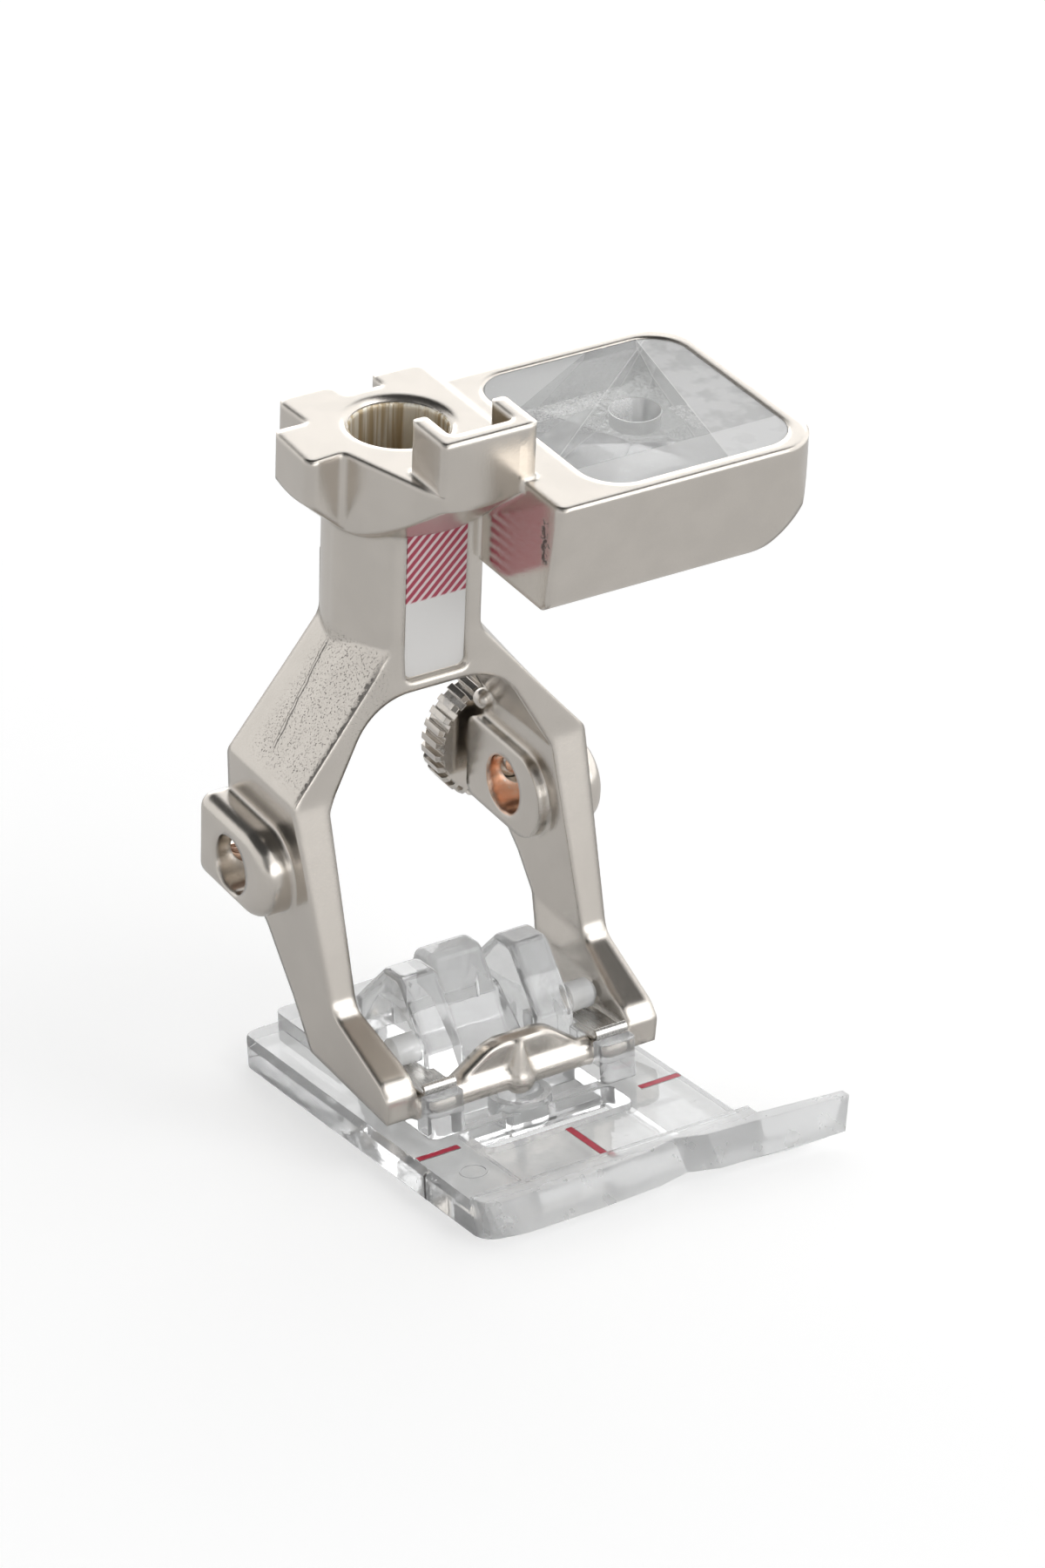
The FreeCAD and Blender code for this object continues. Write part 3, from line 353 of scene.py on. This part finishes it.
def grid_faces(rows, columns):
    """Quads of a grid that is open along its rows and closed round its columns."""
    row, column = np.meshgrid(np.arange(rows - 1), np.arange(columns), indexing="ij")
    beside = (column + 1) % columns
    quads = [row * columns + column, row * columns + beside,
             (row + 1) * columns + beside, (row + 1) * columns + column]
    return np.stack(quads, axis=-1).reshape(-1, 4)


def nickel_finish(name, sizes):
    """Plated casting: satin skin, polished edges, brassy socket with pale streaks painted bright,
    bare hole and wear.
    """
    finish = Finish(name)
    place = finish.yoke_place()
    x, y, z = finish.axes(place)
    edge_normal = finish.round_edges(sizes.edge)
    polished = finish.edge_mask(edge_normal)
    grain = finish.noise(place, 7.0, 3.0, 0.6)
    frost = finish.noise(place, 17.0, 2.0, 0.6)
    cloud = finish.noise(place, 0.35, 2.0)
    swell = finish.noise(place, 1.1, 2.0)
    speck = finish.noise(place, 3.4, 4.0, 0.75)
    streak = finish.noise(place, 1.6, 3.0, 0.6, stretch=(1, 1, 0.03))
    crystals = finish.cells(place, 3.2)
    bore = socket_walls(x, y, z)
    bare = rod_hole_walls(x, y, z) * speck.ramp(0.3, 0.5)
    cavity = housing_cavity(x, y, z)
    mirror = housing_face(x, y, z)
    pit = finish.spot(place, PIT).ramp(0.22, 0.12)
    worn = (thigh_wear(finish, place, speck, swell) + housing_chip(x, y, z, speck)
            + pit).math("MINIMUM", 1.0)
    base = finish.blend(cloud.ramp(0.35, 0.65) * 0.4 + frost.ramp(0.3, 0.7) * 0.6,
                        colour(sizes.nickel, 1.02), colour(sizes.nickel, 0.92))
    # Drawn streaks in the socket, in brass and a near-white colour; the near-white is painted light
    # that brightens the socket, which ends blind in the column.
    drawn = finish.blend(streak.ramp(0.42, 0.58), colour(sizes.brass), (1.0, 0.95, 0.84, 1))
    base = finish.blend(bore, base, drawn)
    base = finish.blend(bare * 0.9, base, colour(sizes.copper))
    base = finish.blend(cavity, base, (0.93, 0.93, 0.92, 1))
    base = finish.blend(worn * 0.88, base, (0.06, 0.056, 0.052, 1))
    rough = (0.17 + grain * 0.05 + cloud * 0.03 - polished * 0.06 + worn * 0.2 - mirror * 0.19
             + bore * 0.15)
    relief = (grain * 0.006 + frost * 0.003 + swell * 0.003 - worn * 0.02
              + cavity * crystals * 0.12 + bore * streak * 0.3)
    finish.set(Base_Color=base, Metallic=1 - bore * 0.5 - cavity * 0.3, Roughness=rough,
               Normal=finish.bump(relief, 0.8, edge_normal))
    return finish


def socket_walls(x, y, z):
    """Mask of the head's socket, which ends within the column."""
    out = away(x, y, (0, SOCKET_Y))
    return out.ramp(SOCKET_RADIUS + 0.15, SOCKET_RADIUS + 0.08) * z.ramp(24.0, 24.4)


def rod_hole_walls(x, y, z):
    """Mask of the guide rod's hole in the right boss."""
    out = away(y, z, (ROD_Y, ROD_Z))
    return out.ramp(ROD_RADIUS + 0.12, ROD_RADIUS + 0.05) * x.ramp(6.0, 6.6)


def housing_cavity(x, y, z):
    """Mask of the housing's inner faces; its bounds run inside the walls.

    Front, rear and right end draw in evenly below the top. Below the keel's start the right
    end curves in further, by the square of the depth.
    """
    inside, keel_start, keel_curve = 0.75, 31.6, 0.258
    below = HOUSING_TOP - z
    draft = below * (HOUSING_DRAFT / HOUSING_HEIGHT)
    end_draft = below * (HOUSING_END_DRAFT / HOUSING_HEIGHT)
    keel = (keel_start - z).math("MAXIMUM", 0.0)
    front = (y - draft).ramp(HOUSING_FRONT + inside - 0.05, HOUSING_FRONT + inside + 0.05)
    back = (y + draft).ramp(HOUSING_BACK - inside + 0.05, HOUSING_BACK - inside - 0.05)
    right = x + end_draft + keel * keel * keel_curve
    right = right.ramp(HOUSING_RIGHT - 0.43, HOUSING_RIGHT - 0.53)
    left = x.ramp(WINDOW_LEFT - 0.2, WINDOW_LEFT - 0.1)
    floor = HOUSING_TOP - HOUSING_HEIGHT + HOUSING_FLOOR
    return front * back * right * left * within(z, floor - 0.2, HOUSING_TOP - 0.07, 0.02)


def housing_face(x, y, z):
    """Mask of the housing's polished left face, clear of its front and lower edges."""
    face = within(x, HOUSING_LEFT - 0.3, HOUSING_LEFT + 0.2)
    return face * y.ramp(3.2, 3.8) * z.ramp(27.9, 28.2)


def housing_chip(x, y, z, speck):
    """Jagged dark line down the housing's left face."""
    jag = y - 3.9 - (speck - 0.5) * 2.2
    face = within(x, HOUSING_LEFT - 0.2, HOUSING_LEFT + 0.15)
    return within(jag, -0.17, 0.17, 0.04) * face * within(z, 31.4, 34.1, 0.2)


def thigh_wear(finish, place, speck, swell):
    """Wear on the left thigh: flecks and a double scratch on its outer face, a torn front edge."""
    x, y, z = finish.axes(place)
    face = x.ramp(-3.0, -3.6) * within(z, 16.5, 23.4, 0.6) * within(y, 10.2, 15.6, 0.6)
    flecks = face * finish.noise(place, 8.0, 3.0, 0.7).ramp(0.58, 0.64)
    line = off_line(y, z, (15.4, 23.5), 0.24) + swell * 0.3
    scratch = within(line, 0.1, 0.2, 0.04) + within(line, 0.34, 0.38, 0.03)
    scratch = scratch * x.ramp(-4.0, -4.4) * within(z, 17.2, 22.6, 0.4)
    behind_edge = off_line(y, z, (9.6, 15.7), 0.122) - (speck - 0.36) * 1.3
    beside_edge = off_line(x * -1, z, (2.8, 23.9), -0.866)
    torn = (behind_edge.ramp(0.05, -0.05) * beside_edge.ramp(-0.08, 0.0)
            * within(z, 16.3, 22.6, 0.5) * x.ramp(-2.6, -3.2))
    return flecks * 0.7 + scratch * 0.8 + torn * 0.8


class FOOT_OT_casting(Operator):
    """Nickel plating on the yoke's casting"""
    bl_idname = "foot.casting"
    bl_label = "Casting"

    def execute(self, context):
        cover(["frame"], nickel_finish("satin nickel casting", context.scene.foot_finish))
        return {"FINISHED"}


# The prism's folds seen from above: the two parts of the direction across each one, and how
# far it runs from the window's middle, in millimetres.
FOLDS = ((0.98, -0.207, -3.14), (0.631, -0.775, 2.21), (0.498, -0.867, 5.73))


class FOOT_OT_prism(Operator):
    """Clear prism in the housing's window"""
    bl_idname = "foot.prism"
    bl_label = "Prism"

    def execute(self, context):
        finish = Finish("clear prism")
        place = finish.yoke_place()
        x, y, z = finish.axes(place)
        ripple = finish.noise(place, 0.6, 2.0)
        dust = finish.noise(place, 6.0, 3.0, 0.7).ramp(0.62, 0.75)
        grains = finish.noise(place, 9.0, 3.0, 0.7).ramp(0.42, 0.58)
        stud = away(x, y, (WINDOW_X, WINDOW_Y)).ramp(STUD_RADIUS + 0.12, STUD_RADIUS + 0.02)
        stud = stud * z.ramp(33.0, 33.1)
        across, along = x - WINDOW_X, y - WINDOW_Y
        # The faces' paleness is painted sheen: a whiter mix laid on some faces and folds that
        # stands in for the light the clear prism reflects. The stud, dust and grainy bands are
        # milky for real.
        painted_facet_sheen, bands = self.painted_facet_sheen(across, along, ripple)
        haze_and_painted_sheen = 0.08 + stud * 0.5 + dust * 0.1 + painted_facet_sheen + bands * grains * 0.4
        normal = finish.bump(ripple * 0.02, 0.5,
                             finish.round_edges(context.scene.foot_finish.mould_edge))
        finish.set(Base_Color=(0.97, 0.98, 0.98, 1), Roughness=0.03 + dust * 0.06,
                   Transmission_Weight=1.0, IOR=1.47, Normal=normal)
        finish.overlay(haze_and_painted_sheen, Base_Color=(0.96, 0.96, 0.955, 1), Roughness=0.35 + dust * 0.2,
                       Transmission_Weight=0.25, IOR=1.47, Normal=normal)
        cover(["lens_prism"], finish)
        return {"FINISHED"}

    def painted_facet_sheen(self, across, along, ripple):
        """Painted sheen of the prism: paleness of its faces and of the folds between them, painted
        in for the light they reflect; and its grainy bands.
        """
        right, rear, corner = (across * a + along * b + c for a, b, c in FOLDS)
        forward = along * -1
        beyond_right = right.ramp(-0.02, 0.02) * (ripple.ramp(0.4, 0.6) * 0.2 + 0.35)
        beyond_rear = rear.ramp(0.02, -0.02) * 0.14
        beyond_corner = corner.ramp(0.02, -0.02) * 0.3
        front = forward.ramp(4.4, 4.5) * 0.35
        fade = (forward + across * 0.4).ramp(-5.0, 3.0) * 0.15
        folds = within(right, -0.05, 0.05, 0.03) + within(rear, -0.05, 0.05, 0.03)
        behind_stud = within(along, 1.3, 2.9) * across.ramp(0.8, 0.6)
        beside_stud = (within(along + across * 0.2, -3.4, -0.2) * across.ramp(1.7, 1.9)
                       * right.ramp(0.02, -0.02))
        # Painted sheen: paler faces, folds and a gradient across the prism in place of reflected
        # light.
        pale = beyond_right + beyond_rear + beyond_corner + front + fade + folds * 0.25
        return pale, behind_stud + beside_stud


class FOOT_OT_label(Operator):
    """Printed label: slanted stripes above a bare field"""
    bl_idname = "foot.label"
    bl_label = "Label"

    def execute(self, context):
        sizes = context.scene.foot_finish
        finish = Finish("striped label")
        place = finish.yoke_place()
        x, y, z = finish.axes(place)
        wobble = finish.noise(place, 2.5, 3.0) * 0.06
        wave = ((z - x + wobble) * (1 / STRIPE_PITCH)).math("FRACT")
        stripe = within(wave, 0.22, 0.80) * z.ramp(STRIPE_FOOT - 0.05, STRIPE_FOOT + 0.1)
        fibre = finish.noise(place, 14.0, 3.0, 0.7)
        field = finish.blend(z.ramp(STRIPE_FOOT - 0.1, STRIPE_FOOT + 0.2), (0.80, 0.79, 0.775, 1),
                             colour(sizes.blush))
        ink = finish.blend(fibre.ramp(0.3, 0.7), colour(sizes.crimson), colour(sizes.crimson, 1.35))
        finish.set(Base_Color=finish.blend(stripe, field, ink), Roughness=0.42 + fibre * 0.12,
                   Normal=finish.bump(fibre * 0.01, 0.5))
        cover(["label"], finish)
        return {"FINISHED"}


class FOOT_OT_clamp_screw(Operator):
    """Polished clamp screw, and the fine thread on its shank"""
    bl_idname = "foot.clamp_screw"
    bl_label = "Clamp screw"

    def execute(self, context):
        sizes = context.scene.foot_finish
        finish = Finish("polished nickel screw")
        place = finish.yoke_place()
        turned = finish.noise(place, 3.0, 3.0, 0.6, stretch=(1, 0.3, 1))
        wear = finish.noise(place, 1.2, 3.0).ramp(0.45, 0.7)
        base = finish.blend(wear * 0.5, colour(sizes.nickel, 0.95), (0.5, 0.49, 0.48, 1))
        finish.set(Base_Color=base, Metallic=1.0, Roughness=0.16 + wear * 0.12,
                   Normal=finish.bump(turned * 0.01, 0.5, finish.round_edges(sizes.screw_edge)))
        cover(["thumb_screw"], finish)
        thread = context.scene.foot_thread
        shank = ridge(SHANK_RADIUS - 0.008, thread.depth * 0.4, BOSS_BACK + 0.02,
                      BOSS_BACK + KNOB_GAP - 0.02, thread)
        vertices = from_yoke(shank + np.array([TAP_X, 0, ROD_Z]))
        piece = add_piece("screw_thread", vertices, grid_faces(*shank.shape[:2]), finish, "screw")
        return {"FINISHED"}


def ridge(radius, height, start, end, thread):
    """Helical ridge along +Y round the origin: (r cos t, y0 + pitch t / turn + w, r sin t).

    r is the radius plus the ridge's height over its middle, and the height fades to nothing
    over the first and the last half turn. w runs across the ridge.
    """
    turns = (end - start) / thread.pitch - 0.5
    count = max(8, round(turns * thread.steps))
    angle = np.linspace(0, 2 * math.pi * turns, count)[:, None]
    fade = np.clip(np.minimum(angle, angle[-1] - angle) / math.pi, 0.02, 1)
    across = np.array([-0.42, -0.06, 0.06, 0.42])[None, :] * thread.pitch
    lift = np.array([-0.1, 1.0, 1.0, -0.1])[None, :] * height * fade
    r = radius + lift
    along = start + 0.25 * thread.pitch + thread.pitch * angle / (2 * math.pi) + across * fade
    return np.stack([r * np.cos(angle), along + 0 * r, r * np.sin(angle)], axis=-1)


class FOOT_OT_tapped_hole(Operator):
    """Thread inside the empty clamp hole of the left boss"""
    bl_idname = "foot.tapped_hole"
    bl_label = "Tapped hole"

    def execute(self, context):
        copper = context.scene.foot_finish.copper
        finish = Finish("cut copper thread")
        nick = finish.noise(finish.yoke_place(), 7.0, 3.0, 0.6)
        base = finish.blend(nick.ramp(0.4, 0.7), colour(copper), colour(copper, 0.7))
        finish.set(Base_Color=base, Metallic=1.0, Roughness=0.25 + nick * 0.15,
                   Normal=finish.bump(nick * 0.01))
        thread = context.scene.foot_thread
        cut = ridge(TAP_RADIUS + 0.005, -thread.depth, ROD_Y + ROD_RADIUS + 0.15,
                    BOSS_BACK - 0.05, thread)
        vertices = from_yoke(cut + np.array([-TAP_X, 0, ROD_Z]))
        faces = grid_faces(*cut.shape[:2])[:, ::-1]
        piece = add_piece("tapped_thread", vertices, faces, finish, "yoke")
        return {"FINISHED"}


class FOOT_OT_sole(Operator):
    """Clear moulded sole with a frosted lip"""
    bl_idname = "foot.sole"
    bl_label = "Sole"

    def execute(self, context):
        sizes = context.scene.foot_finish
        finish = Finish("clear moulded plastic")
        place = finish.row_place()
        x, y, z = finish.axes(place)
        forward = y * -1
        flow = finish.noise(place, 0.5, 3.0, 0.5, stretch=(1, 0.35, 1))
        lip = forward.ramp(9.9, 11.2)
        scratch = finish.noise(place, 2.0, 4.0, 0.7, stretch=(0.2, 2.5, 1)).ramp(0.62, 0.72)
        scratch = scratch * (1 - lip)
        frost = lip * (finish.noise(place, 0.8, 3.0) * 0.5 + 0.7)
        gate_mark = within(away(x, y, GATE), 0.72, 0.82, 0.03) * z.ramp(1.7, 1.75)
        speck = away(x, y, SPECK).ramp(0.14, 0.08)
        pins = x.size().ramp(5.15, 5.3) * z.ramp(4.45, 4.55)
        base = finish.blend(speck, colour(sizes.plastic), (0.05, 0.04, 0.04, 1))
        normal = finish.bump(flow * 0.05 + gate_mark * 0.08, 0.6,
                             finish.round_edges(sizes.mould_edge))
        finish.set(Base_Color=base, Roughness=0.05 + frost * 0.25 + scratch * 0.05,
                   Transmission_Weight=1.0, IOR=1.43, Normal=normal)
        milk = (0.15 + flow.ramp(0.4, 0.7) * 0.08 + scratch * 0.08 + frost * 0.4 + pins * 0.55
                + speck * 0.8)
        finish.overlay(milk, Base_Color=base, Roughness=0.4 + scratch * 0.1,
                       Transmission_Weight=0.3, IOR=1.43, Normal=normal)
        cover(["clear_sole"], finish)
        return {"FINISHED"}


class FOOT_OT_springs(Operator):
    """Bright spring steel strips"""
    bl_idname = "foot.springs"
    bl_label = "Springs"

    def execute(self, context):
        edge = context.scene.foot_finish.spring_edge
        finish = Finish("bright spring steel")
        place = finish.row_place()
        brushed = finish.noise(place, 6.0, 3.0, 0.6, stretch=(1, 0.1, 1))
        tone = finish.noise(place, 0.9, 2.0)
        base = finish.blend(tone, (0.60, 0.59, 0.57, 1), (0.70, 0.68, 0.65, 1))
        finish.set(Base_Color=base, Metallic=1.0, Roughness=0.20 + brushed * 0.14,
                   Normal=finish.bump(brushed * 0.006, 0.6, finish.round_edges(edge)))
        cover(["leaf_spring_left", "leaf_spring_right"], finish)
        return {"FINISHED"}


class FOOT_OT_marks(Operator):
    """Red paint in the sole's grooves"""
    bl_idname = "foot.marks"
    bl_label = "Marks"

    def execute(self, context):
        sizes = context.scene.foot_finish
        finish = Finish("brushed red paint")
        thin = finish.noise(finish.row_place(), 2.2, 4.0, 0.7)
        base = finish.blend(thin.ramp(0.35, 0.7), colour(sizes.paint), colour(sizes.paint, 0.72))
        finish.set(Base_Color=base, Roughness=0.3 + thin * 0.3,
                   Normal=finish.bump(thin * 0.04))
        cover(["mark_left", "mark_right", "mark_centre"], finish)
        return {"FINISHED"}


# The photograph's view: the point that the camera faces and its distance from there in metres,
# its bearing, elevation and roll in degrees, and its lens and sensor in millimetres.
AIM = (0.005102, 0.006563, 0.018)
DISTANCE = 0.354055
BEARING, ELEVATION, ROLL = 239.3129, 24.3083, -2.7201
FOCAL, SENSOR = 208.086, 36.0

# Each lamp's size and place in metres. All of them face the middle of the object.
MIDDLE = (0.003, 0.006, 0.018)
LAMPS = {
    "key": ((0.60, 0.30), (0.10, -0.62, 0.17)),
    "fill": ((0.28, 0.24), (0.30, -0.30, 0.46)),
    "top": ((0.50, 0.22), (0.28, 0.50, 0.20)),
}


def camera_place():
    """The camera's place: DISTANCE from AIM along its back, with its axes as columns.

    The back is (cos e cos b, cos e sin b, sin e), the level sideways axis is
    (-sin b, cos b, 0), and the roll turns the sideways and the upward axis about the back.
    """
    bearing, elevation = math.radians(BEARING), math.radians(ELEVATION)
    back = Vector((math.cos(elevation) * math.cos(bearing),
                   math.cos(elevation) * math.sin(bearing), math.sin(elevation)))
    level = Vector((-math.sin(bearing), math.cos(bearing), 0))
    axes = Matrix((level, back.cross(level), back)).transposed().to_4x4()
    eye = Matrix.Translation(Vector(AIM) + back * DISTANCE)
    return eye @ axes @ Matrix.Rotation(math.radians(ROLL), 4, "Z")


def area_light(name, power, size, spot):
    """Rectangular lamp at a spot, facing the middle of the object."""
    light = bpy.data.lights.new(name, "AREA")
    light.shape = "RECTANGLE"
    light.size, light.size_y = size
    light.energy = power
    lamp = bpy.data.objects.new(name, light)
    lamp.location = spot
    way = Vector(MIDDLE) - Vector(spot)
    lamp.rotation_euler = way.to_track_quat("-Z", "Y").to_euler()
    bpy.context.scene.collection.objects.link(lamp)


class FOOT_OT_stage(Operator):
    """Pale floor, soft lights, white room and the camera"""
    bl_idname = "foot.stage"
    bl_label = "Stage"

    def execute(self, context):
        sizes = context.scene.foot_stage
        scene = context.scene
        self.lay_floor(sizes)
        self.make_room(scene, sizes)
        for name, (size, spot) in LAMPS.items():
            area_light(name, getattr(sizes, name), size, spot)
        self.set_camera(scene)
        scene.view_settings.view_transform = "Standard"
        return {"FINISHED"}

    def set_camera(self, scene):
        """Camera at the photograph's view."""
        camera = bpy.data.cameras.new("camera")
        camera.sensor_fit = "HORIZONTAL"
        camera.sensor_width = SENSOR
        camera.lens = FOCAL
        camera.clip_start = 0.01
        camera.clip_end = 10
        eye = bpy.data.objects.new("camera", camera)
        eye.matrix_world = camera_place()
        scene.collection.objects.link(eye)
        scene.camera = eye

    def lay_floor(self, sizes):
        """Square sheet just under the sole, with a glow that is strongest for the camera."""
        half, level = 3.0, -0.00004
        corners = np.array([(-half, -half, level), (half, -half, level),
                            (half, half, level), (-half, half, level)])
        finish = Finish("pale floor")
        grit = finish.noise(finish.row_place(), 0.2, 2.0)
        tone = finish.blend(grit * 0.2, (sizes.floor,) * 3 + (1,), (sizes.floor * 0.98,) * 3 + (1,))
        finish.set(Base_Color=tone, Roughness=0.9)
        path = finish.add("ShaderNodeLightPath")
        seen = (finish.reading(path, "Is Camera Ray") * 0.5
                + finish.reading(path, "Is Transmission Ray") * 0.2
                + finish.reading(path, "Is Glossy Ray") * 0.12)
        glow = finish.add("ShaderNodeEmission", {}, {"Color": (1, 1, 1, 1), "Strength": seen})
        both = finish.add("ShaderNodeAddShader", {}, {
            0: finish.shader.outputs[0], 1: glow.outputs[0]})
        finish.feed(finish.surface.inputs[0], both.outputs[0])
        mesh = bpy.data.meshes.new("floor")
        mesh.from_pydata(corners.tolist(), [], [(0, 1, 2, 3)])
        mesh.materials.append(finish.material)
        floor = bpy.data.objects.new("floor", mesh)
        bpy.context.scene.collection.objects.link(floor)

    def make_room(self, scene, sizes):
        """White walls all round under a dark ceiling, and a dark screen at the front left."""
        world = bpy.data.worlds.new("room")
        room = Tree(world)
        scene.world = world
        place = room.add("ShaderNodeTexCoord").outputs["Generated"]
        x, y, z = room.axes(place)
        # The ceiling starts at this height of a direction, higher on the right and at the front.
        brow = 0.60 + x.ramp(0.0, 0.45) * 0.10 + (x * 0.5 - y * 0.85).ramp(-0.1, 0.5) * 0.12
        ceiling = (z - brow).ramp(-0.02, 0.06)
        screen = (z * 0.5 - x * 0.45 - y * 0.74).ramp(0.88, 0.95) * 0.8
        walls = sizes.sky + x * 0.35
        level = walls + (0.06 - walls) * ceiling.math("MAXIMUM", screen)
        # The camera sees plain white instead, and rays through the clear parts nearly so.
        lit = room.add("ShaderNodeBackground", {}, {"Color": (1, 1, 1, 1), "Strength": level})
        path = room.add("ShaderNodeLightPath")
        straight = room.reading(path, "Is Camera Ray")
        white = room.add("ShaderNodeBackground", {}, {
            "Color": (1, 1, 1, 1), "Strength": straight * 0.15 + 0.85})
        clear = straight.math("MAXIMUM", room.reading(path, "Is Transmission Ray"))
        seen = room.mixed(clear, lit.outputs[0], white.outputs[0])
        room.add("ShaderNodeOutputWorld", {}, {"Surface": seen})


OPERATORS = (FOOT_OT_casting, FOOT_OT_prism, FOOT_OT_label, FOOT_OT_clamp_screw,
             FOOT_OT_tapped_hole, FOOT_OT_sole, FOOT_OT_springs, FOOT_OT_marks, FOOT_OT_stage)


class FOOT_PT_panel(Panel):
    bl_idname = "FOOT_PT_panel"
    bl_label = "Presser Foot"
    bl_space_type = "VIEW_3D"
    bl_region_type = "UI"
    bl_category = "Presser Foot"

    def draw(self, context):
        for operator in OPERATORS:
            self.layout.operator(operator.bl_idname)
        for attribute, _ in GROUPS:
            group = getattr(context.scene, attribute)
            box = self.layout.box()
            for name in group.__annotations__:
                box.prop(group, name)


GROUPS = (("foot_finish", FinishSizes), ("foot_thread", ThreadSizes), ("foot_stage", StageSizes))


def register():
    for name, group in GROUPS:
        bpy.utils.register_class(group)
        setattr(bpy.types.Scene, name, PointerProperty(type=group))
    for item in (*OPERATORS, FOOT_PT_panel):
        bpy.utils.register_class(item)


def unregister():
    for item in reversed((*OPERATORS, FOOT_PT_panel)):
        bpy.utils.unregister_class(item)
    for name, group in reversed(GROUPS):
        delattr(bpy.types.Scene, name)
        bpy.utils.unregister_class(group)


def main():
    register()
    for operator in OPERATORS:
        group, name = operator.bl_idname.split(".")
        getattr(getattr(bpy.ops, group), name)()


if __name__ == "__main__":
    main()
